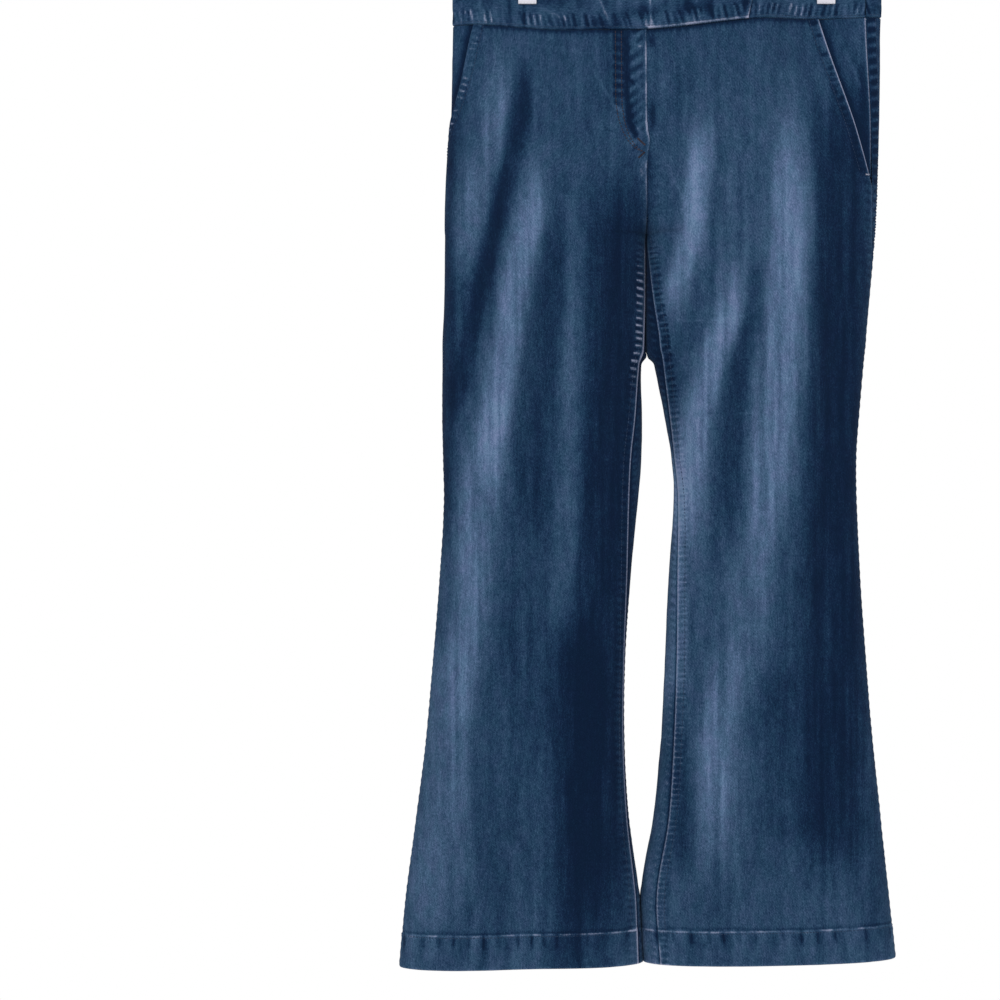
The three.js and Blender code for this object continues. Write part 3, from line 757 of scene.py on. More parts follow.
def lay_out(side, rows, stations):
    """The running lengths, middle points and normals of a grid of cloth."""
    lengths = np.stack([stations(h) for h in rows])
    placed = [cloth(side, a, h) for a, h in zip(lengths, rows)]
    points = np.stack([p for p, _ in placed])
    normals = np.stack([n for _, n in placed])
    heights = np.broadcast_to(rows[:, None], lengths.shape)
    return {"side": side, "a": lengths, "h": heights, "points": points, "normals": normals}


def thinned(grid, step):
    return {k: v if isinstance(v, str) else v[::step, ::step] for k, v in grid.items()}


def grid_faces(rows, columns, first):
    """Quads of one grid layer, whose points start at first."""
    i, j = np.meshgrid(np.arange(rows - 1), np.arange(columns - 1), indexing="ij")
    at = first + i * columns + j
    return np.stack([at, at + columns, at + columns + 1, at + 1], -1).reshape(-1, 4)


def border(rows, columns, first):
    """The points round a grid layer, in order."""
    index = first + np.arange(rows * columns).reshape(rows, columns)
    return np.concatenate([index[0, :-1], index[:-1, -1], index[-1, :0:-1], index[:0:-1, 0]])


def wall(name, grid, outer, inner, fade, wear_and_shading, materials, grain, inner_step=3):
    """A closed shell of cloth: a fine outer layer, a coarser inner one, and a rim between."""
    coarse = thinned(grid, inner_step)
    top = grid["points"] + grid["normals"] * outer[..., None]
    under = coarse["points"] + coarse["normals"] * inner[::inner_step, ::inner_step, None]
    rows, columns = top.shape[:2]
    few_rows, few_columns = under.shape[:2]
    count = rows * columns
    outer_faces = grid_faces(rows, columns, 0)
    inner_faces = grid_faces(few_rows, few_columns, count)[:, ::-1]
    fine = border(rows, columns, 0)
    rough = border(few_rows, few_columns, count)
    following = np.roll(fine, -1)
    rim = []
    for k, corner in enumerate(rough):
        after = rough[(k + 1) % len(rough)]
        steps = range(inner_step * k, inner_step * (k + 1))
        half = inner_step // 2
        for n, f in enumerate(steps):
            if n == half:
                rim.append((corner, fine[f], after))
            rim.append((after if n >= half else corner, fine[f], following[f]))
    rim = [(a, c, b) for a, b, c in rim]
    normal = np.cross(top[1, 0] - top[0, 0], top[0, 1] - top[0, 0])
    if np.dot(normal, grid["normals"][0, 0]) < 0:
        outer_faces, inner_faces = outer_faces[:, ::-1], inner_faces[:, ::-1]
        rim = [face[::-1] for face in rim]
    points = np.concatenate([top.reshape(-1, 3), under.reshape(-1, 3)]) * MM
    faces = outer_faces.tolist() + inner_faces.tolist() + rim
    mesh = bpy.data.meshes.new(name)
    mesh.from_pydata(points.tolist(), [], faces)
    mesh.update()
    for material in materials:
        mesh.materials.append(material)
    kinds = np.zeros(len(faces), np.int32)
    kinds[len(outer_faces) : len(outer_faces) + len(inner_faces)] = len(materials) - 1
    mesh.polygons.foreach_set("material_index", kinds)
    mesh.shade_smooth()

    # The first attribute holds the wash with the painted shade taken from below zero; the second holds
    # wear with the painted light on ridges and edges.
    for label, values in (("fade", fade + np.minimum(wear_and_shading, 0)), ("wear_and_shading", wear_and_shading)):
        both = np.concatenate([values.ravel(), values[::inner_step, ::inner_step].ravel()])
        layer = mesh.attributes.new(label, "FLOAT", "POINT")
        layer.data.foreach_set("value", clamp(both).astype(np.float32))
    flat = np.concatenate([grain.reshape(-1, 2), grain[::inner_step, ::inner_step].reshape(-1, 2)])
    corners = np.zeros(len(mesh.loops), np.int32)
    mesh.loops.foreach_get("vertex_index", corners)
    mesh.uv_layers.new(name="cloth").data.foreach_set("uv", (flat[corners] * MM).ravel())

    piece = bpy.data.objects.new(name, mesh)
    bpy.context.scene.collection.objects.link(piece)
    return piece


def upright_grain(grid):
    """Warp down the piece: across it to the right as seen from outside, and upwards."""
    sense = 1 if grid["side"] == "left" else -1
    middle = (grid["a"][:, :1] + grid["a"][:, -1:]) / 2
    return np.stack([sense * (grid["a"] - middle), -grid["h"]], -1)


def lengthwise_grain(grid):
    """Warp along the piece, as a waistband is cut."""
    sense = 1 if grid["side"] == "left" else -1
    return np.stack([grid["h"], sense * grid["a"]], -1)


def edge_turn(grid, thickness, first=1.0, last=1.0):
    """How far the outer layer turns in at the piece's edges, first and last of them along a."""
    a, h = grid["a"], grid["h"]
    along = [first * turned(a - a[:, :1]), last * turned(a[:, -1:] - a)]
    edges = [*along, turned(h - h[:1]), turned(h[-1:] - h)]
    return 0.82 * thickness * np.maximum.reduce(edges)


def cut_of(grid, turn_up=0.0):
    """The flat size and area of the cut, in metres, with the hem's turn-up."""
    widths = grid["a"][:, -1] - grid["a"][:, 0]
    heights = grid["h"][:, 0]
    length = heights[-1] - heights[0]
    area = float(np.trapz(widths, heights)) + turn_up * widths[-1]
    return (widths.max() * MM, (length + turn_up) * MM), area * MM * MM


def dress(piece, grid, node, rests_on, with_pieces=(), turn_up=0.0):
    """Attaches a cloth piece to the root and hides its CAD part; its flat size and area are worked out
    but not passed on.
    """
    flat, area = cut_of(grid, turn_up)
    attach(piece, "root")
    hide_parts(node)
    size = {"flat": tuple(sorted(flat)), "area": area}


def wash_and_shade_of(grid, seed):
    """The wash, with its painted light and shade, on whichever face each point lies on."""
    x, h = grid["points"][..., 0], grid["h"]
    side_on = smoothstep(-9, 9, grid["points"][..., 1])
    return mix(washed_and_shaded("front", x, h, seed), washed_and_shaded("back", x, h, seed + 1), side_on)


def hem_thickness(h):
    return DENIM / 2 + HEM_FOLD * smoothstep(HEM_FOLD_LINE - 0.6, HEM_FOLD_LINE + 0.6, h)


def hem_roping(a, h, seed):
    """The height and wear of a turned and stitched hem, nicked under its stitching."""
    below = h - HEM_FOLD_LINE
    below = below + 1.2 * soft_noise(seed + 7, a / 26, 1.5)
    nicked = nicks(a, 17.5, 1.9, seed) * smoothstep(-2, 1, below) * (1 - smoothstep(8, 20, below))
    ripple = puckers(a, h, 26.0, 0.0, seed + 3, sharpness=0.9)
    fading = smoothstep(-1, 3, below) * (1 - 0.6 * smoothstep(12, 30, below))
    wavy = 0.55 + 0.35 * soft_noise(seed + 5, a / 9, 2.5)
    height = 0.4 * smoothstep(-0.5, 4, below) + 0.12 * ripple * fading - 0.3 * nicked
    wear_and_shading = 0.26 * ripple * fading - 0.60 * nicked + wavy * bump((below - 1.0) / 1.3)
    # Painted shadow just above the hem's turned edge.
    wear_and_shading = wear_and_shading - 0.20 * bump((below + 1.8) / 1.3)
    return height, wear_and_shading + 0.45 * bump((HEM - h) / 1.8)


def panel(name, side, surface, start, end, columns, seed, materials, first, last=1.0, free=False):
    """A leg panel. free marks one whose first edge is the flap's, down to the crotch."""
    rows = rows_between(WAIST_SEAM, HEM, ROWS_STEP)
    grid = lay_out(side, rows, lambda h: refined(start(h), end(h), columns))
    height, wear_and_shading = surface(side, grid["a"], grid["h"])
    hem, hem_wear_and_shading = hem_roping(grid["a"], grid["h"], seed + 31)
    height = height + hem
    if free:
        first = mix(1.0, first, smoothstep(CROTCH - 20, CROTCH + 10, grid["h"]))
    outer = DENIM / 2 + height - edge_turn(grid, DENIM, first, last)
    inner = height - hem_thickness(grid["h"])
    wear_and_shading = wear_and_shading + hem_wear_and_shading
    piece = wall(name, grid, outer, inner, wash_and_shade_of(grid, seed), wear_and_shading, materials, upright_grain(grid))
    return piece, grid


def front_panel(side, materials):
    flap = side == "right"

    def start(h):
        return fly_edge(h) if flap else BUTT - max(float(fly_underlap(h)), float(seam_underlap(h)))

    def end(h):
        return side_seam(side, h) - pocket_opening(side, h) - BUTT

    seed = 200 if flap else 230
    columns = COLUMNS["front"]
    name = f"front_{side}_cloth"
    return panel(
        name, side, front_surface, start, end, columns, seed, materials, SEAM_TURN, free=flap
    )


def back_panel(side, materials):
    def start(h):
        return side_seam(side, h) + BUTT

    def end(h):
        return all_round(side, h) - BUTT

    seed = 260 if side == "right" else 290
    columns = COLUMNS["back"]
    name = f"back_{side}_cloth"
    return panel(
        name, side, back_surface, start, end, columns, seed, materials, SEAM_TURN, SEAM_TURN
    )


def pocket_facing(side, materials):
    def stations(h):
        edge = side_seam(side, h) - pocket_opening(side, h) - SEAM_GAP / 2
        return refined(edge - FACING_UNDERLAP, side_seam(side, h) - SEAM_GAP / 2, 24)

    rows = rows_between(WAIST_SEAM, POCKETS[side]["facing"], 2.6)
    grid = lay_out(side, rows, stations)
    height, wear_and_shading = facing_surface(side, grid["a"], grid["h"])
    turn = 0.82 * DENIM * turned(np.minimum(grid["a"][:, -1:] - grid["a"], grid["h"] - grid["h"][:1]))
    outer, inner = height + DENIM / 2 - turn, height - DENIM / 2
    fade = wash_and_shade_of(grid, 320) - 0.04
    name, grain = f"pocket_facing_{side}_cloth", upright_grain(grid)
    piece = wall(name, grid, outer, inner, fade, wear_and_shading, materials, grain)
    return piece, grid


def fly_shield(materials):
    rows = rows_between(WAIST_SEAM, SHIELD_BOTTOM, 4)
    grid = lay_out("right", rows, lambda h: refined(-SHIELD_PAST_CENTRE, FLY_WIDTH, 12))
    outer = -LAYER + DENIM / 2 - 0.4 * DENIM * turned(grid["a"] - grid["a"][:, :1])
    fade = wash_and_shade_of(grid, 330) - 0.1
    flat = np.zeros_like(fade)
    grain = upright_grain(grid)
    piece = wall("fly_shield_cloth", grid, outer, outer - DENIM, fade, flat, materials, grain)
    return piece, grid


def fly_zip(materials):
    start = FLY_UNDERLAP + SEAM_GAP
    rows = rows_between(WAIST_SEAM, ZIP_BOTTOM, 4)
    grid = lay_out("right", rows, lambda h: refined(start, start + ZIP_WIDTH, 6))
    chain = 0.25 * bump((grid["a"] - start - ZIP_WIDTH / 2) / 2.4)
    outer = np.full(grid["a"].shape, DENIM / 2 - 0.45) + chain
    flat = np.zeros_like(outer)
    inner, grain = flat - DENIM / 2, upright_grain(grid)
    piece = wall("fly_zip_tape", grid, outer, inner, flat + 0.2, flat, materials, grain)
    return piece, grid


def waistband(name, side, stations, columns, materials):
    rows = rows_between(0, BAND_HEIGHT, 1.7)
    grid = lay_out(side, rows, lambda h: refined(*stations(h), columns))
    height, wear_and_shading = band_surface(name, grid["a"], grid["h"])
    turn = edge_turn(grid, BAND_CLOTH)
    outer = BAND_CLOTH / 2 + height - turn
    inner = height - BAND_CLOTH / 2
    fade = wash_and_shade_of(grid, 340) - 0.02
    piece = wall(f"{name}_cloth", grid, outer, inner, fade, wear_and_shading, materials, lengthwise_grain(grid))
    return piece, grid


def right_band(materials):
    def stations(h):
        tab_end = TAB_LENGTH - TAB_CORNER * smoothstep(BAND_HEIGHT / 2, BAND_HEIGHT, h)
        return -tab_end, side_seam("right", h) - SEAM_GAP / 2

    return waistband("waistband_right", "right", stations, 183, materials)


def left_band(materials):
    def stations(h):
        return -BAND_UNDERLAP, side_seam("left", h) - SEAM_GAP / 2

    return waistband("waistband_left", "left", stations, 144, materials)


def back_band(materials):
    def stations(h):
        end = all_round("right", h) + all_round("left", h) - side_seam("left", h)
        return side_seam("right", h) + SEAM_GAP / 2, end - SEAM_GAP / 2

    return waistband("waistband_back", "right", stations, 210, materials)


# Sewing: each stitch is a short bowed rod of thread that dips into the cloth at both ends.

ROD_SIDES = 5
# A stitch's rings: how far along, how thick, and how high over the cloth.
ROD_SHAPE = (
    (0.0, 0.35, -0.30),
    (0.18, 1.0, 0.14),
    (0.5, 1.0, 0.26),
    (0.82, 1.0, 0.14),
    (1.0, 0.35, -0.30),
)


def resample(path, step):
    """Points along a path of (a, h), a step apart."""
    path = np.array(path, float)
    run = np.append(0, np.cumsum(np.hypot(*np.diff(path, axis=0).T)))
    count = max(1, int(run[-1] // step))
    at = np.arange(count + 1) * (run[-1] / count)
    return np.stack([np.interp(at, run, path[:, 0]), np.interp(at, run, path[:, 1])], -1)


def surface_point(side, surface, over, a, h):
    base, normal = cloth(side, np.array([a]), h)
    height = surface(np.array([a]), np.array([h]))[0]
    return base[0] + normal[0] * (float(np.ravel(height)[0]) + over), normal[0]


def rod(start, end, normal, radius):
    """Points and faces of one stitch."""
    along = end - start
    across = np.cross(along, normal)
    across /= np.linalg.norm(across)
    angles = 2 * np.pi * np.arange(ROD_SIDES) / ROD_SIDES
    rings = []
    for place, size, rise in ROD_SHAPE:
        middle = start + along * place + normal * rise
        ring = np.cos(angles)[:, None] * across + np.sin(angles)[:, None] * normal
        rings.append(middle + ring * radius * size)
    points = np.concatenate(rings)
    faces = []
    for r in range(len(ROD_SHAPE) - 1):
        for k in range(ROD_SIDES):
            n = (k + 1) % ROD_SIDES
            low, high = r * ROD_SIDES, (r + 1) * ROD_SIDES
            faces.append((low + k, high + k, high + n, low + n))
    faces.append(tuple(range(ROD_SIDES))[::-1])
    faces.append(tuple(range((len(ROD_SHAPE) - 1) * ROD_SIDES, len(ROD_SHAPE) * ROD_SIDES)))
    return points, [face[::-1] for face in faces]


def threads(name, stitches, material, radius=THREAD_RADIUS):
    """One mesh of stitches, each given by its start, its end and the cloth's normal."""
    points, faces, first = [], [], 0
    for start, end, normal in stitches:
        rod_points, rod_faces = rod(start, end, normal, radius)
        points.append(rod_points)
        faces += [tuple(i + first for i in face) for face in rod_faces]
        first += len(rod_points)
    mesh = bpy.data.meshes.new(name)
    mesh.from_pydata((np.concatenate(points) * MM).tolist(), [], faces)
    mesh.materials.append(material)
    mesh.shade_smooth()
    piece = bpy.data.objects.new(name, mesh)
    bpy.context.scene.collection.objects.link(piece)
    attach(piece, "root")


def sew(name, runs, material, radius=THREAD_RADIUS):
    """Runs of stitches: each run is (side, surface, thickness, path)."""
    stitches = []
    gap = STITCH_GAP / (STITCH + STITCH_GAP) / 2
    for side, surface, over, path in runs:
        marks = resample(path, STITCH + STITCH_GAP)
        for (a0, h0), (a1, h1) in zip(marks[:-1], marks[1:]):
            start, normal = surface_point(side, surface, over, mix(a0, a1, gap), mix(h0, h1, gap))
            end, _ = surface_point(side, surface, over, mix(a0, a1, 1 - gap), mix(h0, h1, 1 - gap))
            stitches.append((start, end, normal))
    threads(name, stitches, material, radius)


def bartacks(name, tacks, material):
    """Dense bars of crosswise thread: each is (side, surface, thickness, start, end, width)."""
    stitches = []
    for side, surface, over, start, end, width in tacks:
        (a0, h0), (a1, h1) = start, end
        length = math.hypot(a1 - a0, h1 - h0)
        sideways_a, sideways_h = -(h1 - h0) / length * width / 2, (a1 - a0) / length * width / 2
        count = max(4, round(length / TACK_PITCH))
        for k in np.linspace(0, 1, count):
            a, h = mix(a0, a1, k), mix(h0, h1, k)
            one, normal = surface_point(side, surface, over, a - sideways_a, h - sideways_h)
            two, _ = surface_point(side, surface, over, a + sideways_a, h + sideways_h)
            stitches.append((one, two, normal))
    threads(name, stitches, material)


# Materials.


def new_material(name):
    material = bpy.data.materials.new(name)
    material.use_nodes = True
    tree = material.node_tree
    return material, tree, tree.nodes["Principled BSDF"]


def node(tree, kind, **settings):
    made = tree.nodes.new(kind)
    for key, value in settings.items():
        setattr(made, key, value)
    return made


def feed(tree, socket, value):
    """Links value to a socket if it is a socket itself, and otherwise sets it."""
    if isinstance(value, bpy.types.NodeSocket):
        tree.links.new(value, socket)
    else:
        socket.default_value = value


def compute(tree, operation, *values):
    made = node(tree, "ShaderNodeMath", operation=operation)
    for socket, value in zip(made.inputs, values):
        feed(tree, socket, value)
    return made.outputs[0]


def noise(tree, vector, scale, detail=2.0, roughness=0.5):
    made = node(tree, "ShaderNodeTexNoise", noise_dimensions="3D")
    feed(tree, made.inputs["Vector"], vector)
    feed(tree, made.inputs["Scale"], scale)
    feed(tree, made.inputs["Detail"], detail)
    feed(tree, made.inputs["Roughness"], roughness)
    return made.outputs["Fac"]


def stretched(tree, vector, across, up):
    """A flat pattern's coordinates, with its size across and up in metres."""
    made = node(tree, "ShaderNodeMapping")
    feed(tree, made.inputs["Vector"], vector)
    made.inputs["Scale"].default_value = (1 / across, 1 / up, 1)
    return made.outputs["Vector"]


def ramp(tree, value, stops):
    made = node(tree, "ShaderNodeValToRGB")
    feed(tree, made.inputs["Fac"], value)
    elements = made.color_ramp.elements
    while len(elements) < len(stops):
        elements.new(0.5)
    for element, (place, color) in zip(elements, stops):
        element.position = place
        element.color = (*color, 1)
    return made.outputs["Color"]


def blend(tree, share, one, two):
    made = node(tree, "ShaderNodeMix", data_type="RGBA")
    feed(tree, made.inputs["Factor"], share)
    feed(tree, made.inputs["A"], one)
    feed(tree, made.inputs["B"], two)
    return made.outputs["Result"]


def new_group(name, inputs, outputs):
    tree = bpy.data.node_groups.new(name, "ShaderNodeTree")
    for label, kind in inputs:
        tree.interface.new_socket(label, in_out="INPUT", socket_type=kind)
    for label in outputs:
        tree.interface.new_socket(label, in_out="OUTPUT", socket_type="NodeSocketFloat")
    into, out = tree.nodes.new("NodeGroupInput"), tree.nodes.new("NodeGroupOutput")
    return tree, into.outputs, out.inputs


def raise_surface(tree, shader, height, strength, distance):
    """Lets a pattern of heights tilt the shading."""
    raised = node(tree, "ShaderNodeBump")
    raised.inputs["Strength"].default_value = strength
    raised.inputs["Distance"].default_value = distance
    tree.links.new(height, raised.inputs["Height"])
    tree.links.new(raised.outputs["Normal"], shader.inputs["Normal"])


def object_place(tree):
    return node(tree, "ShaderNodeTexCoord").outputs["Object"]


TWILL_ACROSS = 0.0016
TWILL_UP = 0.0026


def twill_group():
    """Right-hand twill: the diagonal ribs, the slubs of the warp, and the speckle of the weft."""
    tree, given, out = new_group(
        "twill weave", [("Cloth", "NodeSocketVector")], ["Ribs", "Slubs", "Speckle", "Height"]
    )
    cloth_uv = given["Cloth"]
    parts = node(tree, "ShaderNodeSeparateXYZ")
    tree.links.new(cloth_uv, parts.inputs[0])
    across = compute(tree, "MULTIPLY", parts.outputs["X"], 2 * math.pi / TWILL_ACROSS)
    up = compute(tree, "MULTIPLY", parts.outputs["Y"], 2 * math.pi / TWILL_UP)
    wobble = compute(tree, "MULTIPLY", noise(tree, stretched(tree, cloth_uv, 0.006, 0.02), 1.0), 5.0)
    phase = compute(tree, "ADD", compute(tree, "SUBTRACT", across, up), wobble)
    ribs = compute(tree, "MULTIPLY_ADD", compute(tree, "SINE", phase), 0.5, 0.5)
    slubs = noise(tree, stretched(tree, cloth_uv, 0.0017, 0.008), 1.0, 3.0, 0.6)
    speckle = noise(tree, stretched(tree, cloth_uv, 0.0013, 0.0024), 1.0, 2.0, 0.6)
    raised_slubs = compute(tree, "MULTIPLY", slubs, 0.6)
    height = compute(tree, "MULTIPLY_ADD", ribs, 0.5, raised_slubs)
    for label, value in (("Ribs", ribs), ("Slubs", slubs), ("Speckle", speckle), ("Height", height)):
        tree.links.new(value, out[label])
    return tree


def wash_and_shading_group():
    """The paleness of a spot: its wash, its wear, the painted light and shade carried with them, and
    the weave's own unevenness.
    """
    labels = ("Fade", "Wear_and_shading", "Ribs", "Slubs", "Speckle", "Contrast")
    inputs = [(label, "NodeSocketFloat") for label in labels]
    tree, given, out = new_group("indigo wash and shading", inputs, ["Tone", "Wear_and_highlight"])

    def centred(value, amount):
        return compute(tree, "MULTIPLY", compute(tree, "SUBTRACT", value, 0.5), amount)

    uneven = compute(tree, "ADD", centred(given["Ribs"], 0.18), centred(given["Slubs"], 0.44))
    uneven = compute(tree, "ADD", uneven, centred(given["Speckle"], 0.60))
    uneven = compute(tree, "MULTIPLY", uneven, given["Contrast"])
    tone = compute(tree, "ADD", given["Fade"], uneven)
    tone = compute(tree, "ADD", tone, compute(tree, "MULTIPLY", given["Wear_and_shading"], 0.35))
    grit = compute(tree, "ADD", given["Wear_and_shading"], centred(given["Speckle"], 0.5))
    wear_and_shading = node(tree, "ShaderNodeMapRange", interpolation_type="SMOOTHSTEP")
    feed(tree, wear_and_shading.inputs["Value"], grit)
    wear_and_shading.inputs["From Min"].default_value = 0.30
    wear_and_shading.inputs["From Max"].default_value = 1.0
    tree.links.new(tone, out["Tone"])
    tree.links.new(wear_and_shading.outputs["Result"], out["Wear_and_highlight"])
    return tree


TWILL = twill_group()
WASH_AND_SHADING = wash_and_shading_group()


def denim(name, stops, wear_and_highlight_color, contrast, bump_strength):
    material, tree, shader = new_material(name)
    uv = node(tree, "ShaderNodeUVMap", uv_map="cloth")
    weave = node(tree, "ShaderNodeGroup", node_tree=TWILL)
    wash_and_shading = node(tree, "ShaderNodeGroup", node_tree=WASH_AND_SHADING)
    tree.links.new(uv.outputs["UV"], weave.inputs["Cloth"])
    for label in ("fade", "wear_and_shading"):
        layer = node(tree, "ShaderNodeAttribute", attribute_name=label)
        tree.links.new(layer.outputs["Fac"], wash_and_shading.inputs[label.capitalize()])
    for label in ("Ribs", "Slubs", "Speckle"):
        tree.links.new(weave.outputs[label], wash_and_shading.inputs[label])
    wash_and_shading.inputs["Contrast"].default_value = contrast
    indigo = ramp(tree, wash_and_shading.outputs["Tone"], stops)
    clouds = noise(tree, stretched(tree, uv.outputs["UV"], 0.014, 0.024), 1.0, 3.0, 0.55)
    tint = ramp(tree, clouds, ((0.38, (0.88, 1.0, 0.97)), (0.64, (1.0, 0.95, 0.99))))
    tinted = node(tree, "ShaderNodeMix", data_type="RGBA", blend_type="MULTIPLY")
    feed(tree, tinted.inputs["Factor"], 1.0)
    feed(tree, tinted.inputs["A"], indigo)
    feed(tree, tinted.inputs["B"], tint)
    # Pale where the cloth is worn and where light is painted on ridges and edges.
    color = blend(tree, wash_and_shading.outputs["Wear_and_highlight"], tinted.outputs["Result"], (*wear_and_highlight_color, 1))
    tree.links.new(color, shader.inputs["Base Color"])
    raise_surface(tree, shader, weave.outputs["Height"], bump_strength, 0.0005)
    shader.inputs["Roughness"].default_value = 0.92
    shader.inputs["Specular IOR Level"].default_value = 0.05
    shader.inputs["Sheen Weight"].default_value = 0.03
    shader.inputs["Sheen Roughness"].default_value = 0.55
    return material


INDIGO = (
    (0.0, (0.003, 0.012, 0.036)),
    (0.20, (0.0055, 0.019, 0.054)),
    (0.35, (0.0125, 0.040, 0.090)),
    (0.50, (0.030, 0.070, 0.135)),
    (0.65, (0.062, 0.112, 0.200)),
    (0.85, (0.118, 0.185, 0.320)),
    (1.0, (0.20, 0.27, 0.43)),
)
INSIDE = (
    (0.0, (0.10, 0.13, 0.20)),
    (0.5, (0.20, 0.25, 0.34)),
    (1.0, (0.36, 0.41, 0.50)),
)


def thread_material(name, color, pale):
    material, tree, shader = new_material(name)
    place = object_place(tree)
    spots = noise(tree, place, 90.0, 3.0, 0.6)
    tree.links.new(ramp(tree, spots, ((0.3, color), (0.75, pale))), shader.inputs["Base Color"])
    twist = noise(tree, place, 2600.0, 1.0)
    raise_surface(tree, shader, twist, 0.4, 0.0002)
    shader.inputs["Roughness"].default_value = 0.75
    shader.inputs["Specular IOR Level"].default_value = 0.2
    return material


def zip_tape_material():
    material, tree, shader = new_material("woven zip tape")
    place = object_place(tree)
    rows = node(tree, "ShaderNodeTexWave", wave_type="BANDS", bands_direction="Z")
    feed(tree, rows.inputs["Vector"], place)
    rows.inputs["Scale"].default_value = 320
    color = ramp(tree, rows.outputs["Fac"], ((0.2, (0.010, 0.016, 0.035)), (0.9, (0.03, 0.045, 0.08))))
    tree.links.new(color, shader.inputs["Base Color"])
    raise_surface(tree, shader, rows.outputs["Fac"], 0.4, 0.0003)
    shader.inputs["Roughness"].default_value = 0.8
    return material


def steel_material():
    material, tree, shader = new_material("plated steel wire")
    place = object_place(tree)
    drawn = noise(tree, place, 240.0, 4.0, 0.6)
    color = ramp(tree, drawn, ((0.3, (0.52, 0.53, 0.55)), (0.7, (0.70, 0.71, 0.73))))
    tree.links.new(color, shader.inputs["Base Color"])
    rough = node(tree, "ShaderNodeMapRange")
    feed(tree, rough.inputs["Value"], drawn)
    rough.inputs["To Min"].default_value = 0.18
    rough.inputs["To Max"].default_value = 0.38
    tree.links.new(rough.outputs["Result"], shader.inputs["Roughness"])
    shader.inputs["Metallic"].default_value = 1.0
    return material


def clip_material():
    material, tree, shader = new_material("white moulded clip")
    place = object_place(tree)
    cloudy = noise(tree, place, 60.0, 3.0, 0.55)
    color = ramp(tree, cloudy, ((0.3, (0.74, 0.71, 0.77)), (0.7, (0.86, 0.84, 0.88))))
    tree.links.new(color, shader.inputs["Base Color"])
    grainy = noise(tree, place, 1400.0, 2.0)
    raise_surface(tree, shader, grainy, 0.15, 0.0002)
    shader.inputs["Roughness"].default_value = 0.42
    return material


def plain_material(name, color, roughness):
    material, tree, shader = new_material(name)
    place = object_place(tree)
    soft = noise(tree, place, 3.0, 2.0)
    paler = tuple(min(1.0, 1.03 * c) for c in color)
    tree.links.new(ramp(tree, soft, ((0.3, color), (0.7, paler))), shader.inputs["Base Color"])
    shader.inputs["Roughness"].default_value = roughness
    return material


# The hanger, modelled from primitives.

HOOK_RADIUS = 20
WIRE_RADIUS = 2.2
BAR_RADIUS = 2.5
BAR_KNOB_RADIUS = 4.5
BAR_HUB_RADIUS = 6
BAR_HUB_WIDTH = 18
BAR_LENGTH = 392
BAR_Z = -94
CLIP_WIDTH = 20
CLIP_TIP_Z = -148.5


def deselect():
    bpy.ops.object.select_all(action="DESELECT")


def in_edit_mode(piece):
    bpy.context.view_layer.objects.active = piece
    bpy.ops.object.mode_set(mode="EDIT")
    return bmesh.from_edit_mesh(piece.data)


def finish_piece(piece, name, material, smooth_angle=math.radians(38)):
    """Puts a modelled piece's place into its mesh and names it."""
    if piece.mode == "EDIT":
        bpy.ops.object.mode_set(mode="OBJECT")
    deselect()
    piece.select_set(True)
    bpy.context.view_layer.objects.active = piece
    bpy.ops.object.transform_apply(location=True, rotation=True, scale=True)
    for modifier in list(piece.modifiers):
        bpy.ops.object.modifier_apply(modifier=modifier.name)
    bpy.ops.object.mode_set(mode="EDIT")
    bpy.ops.mesh.select_all(action="SELECT")
    bpy.ops.mesh.remove_doubles(threshold=1e-6)
    bpy.ops.mesh.normals_make_consistent(inside=False)
    bpy.ops.object.mode_set(mode="OBJECT")
    bpy.ops.object.shade_smooth_by_angle(angle=smooth_angle)
    piece.name = piece.data.name = name
    piece.data.materials.clear()
    piece.data.materials.append(material)
    return piece


def select_rim(piece, wanted):
    """Selects the faces whose centre passes the test, in edit mode."""
    shape = bmesh.from_edit_mesh(piece.data)
    for face in shape.faces:
        face.select_set(False)
    for face in shape.faces:
        if wanted(face.calc_center_median(), face.normal):
            face.select_set(True)
    shape.select_flush_mode()
    bmesh.update_edit_mesh(piece.data)


def hanger_hook(material):
    """A round wire, spun over the rod from the stem's shoulder, with its stem drawn down."""
    deselect()
    ring = HOOK_RADIUS + WIRE_RADIUS
    tip, shoulder = math.radians(-25), math.radians(215)
    centre = Vector((0, 0, -HOOK_RADIUS)) * MM
    start = centre + Vector((math.cos(tip), 0, math.sin(tip))) * ring * MM
    facing = Vector((-math.sin(tip), 0, math.cos(tip)))
    bpy.ops.mesh.primitive_circle_add(
        vertices=20, radius=WIRE_RADIUS * MM, fill_type="NGON", location=start,
        rotation=facing.to_track_quat("Z", "Y").to_euler(),
    )
    wire = bpy.context.object
    bpy.ops.object.transform_apply(location=True, rotation=True, scale=True)
    in_edit_mode(wire)
    bpy.ops.mesh.select_all(action="SELECT")
    turns = 56
    bpy.ops.mesh.spin(
        steps=turns, angle=shoulder - tip, center=centre, axis=(0, 1, 0), dupli=False,
    )
    # The stem leaves the shoulder and eases to the upright under the rod's middle.
    heading = Vector((-math.sin(shoulder), 0, math.cos(shoulder)))
    here = centre + Vector((math.cos(shoulder), 0, math.sin(shoulder))) * ring * MM
    foot = Vector((0, 0, BAR_Z + BAR_HUB_RADIUS + SEAM_GAP)) * MM
    first, last = here.copy(), foot
    out, back = heading.normalized() * 0.030, Vector((0, 0, 1)) * 0.034
    steps = 22
    before = first
    for k in range(1, steps + 1):
        t = k / steps
        p = (
            first * (1 - t) ** 3
            + (first + out) * 3 * t * (1 - t) ** 2
            + (last + back) * 3 * t * t * (1 - t)
            + last * t**3
        )
        bpy.ops.mesh.extrude_region_move(TRANSFORM_OT_translate={"value": tuple(p - before)})
        before = p
    return finish_piece(wire, "hanger_hook_wire", material)


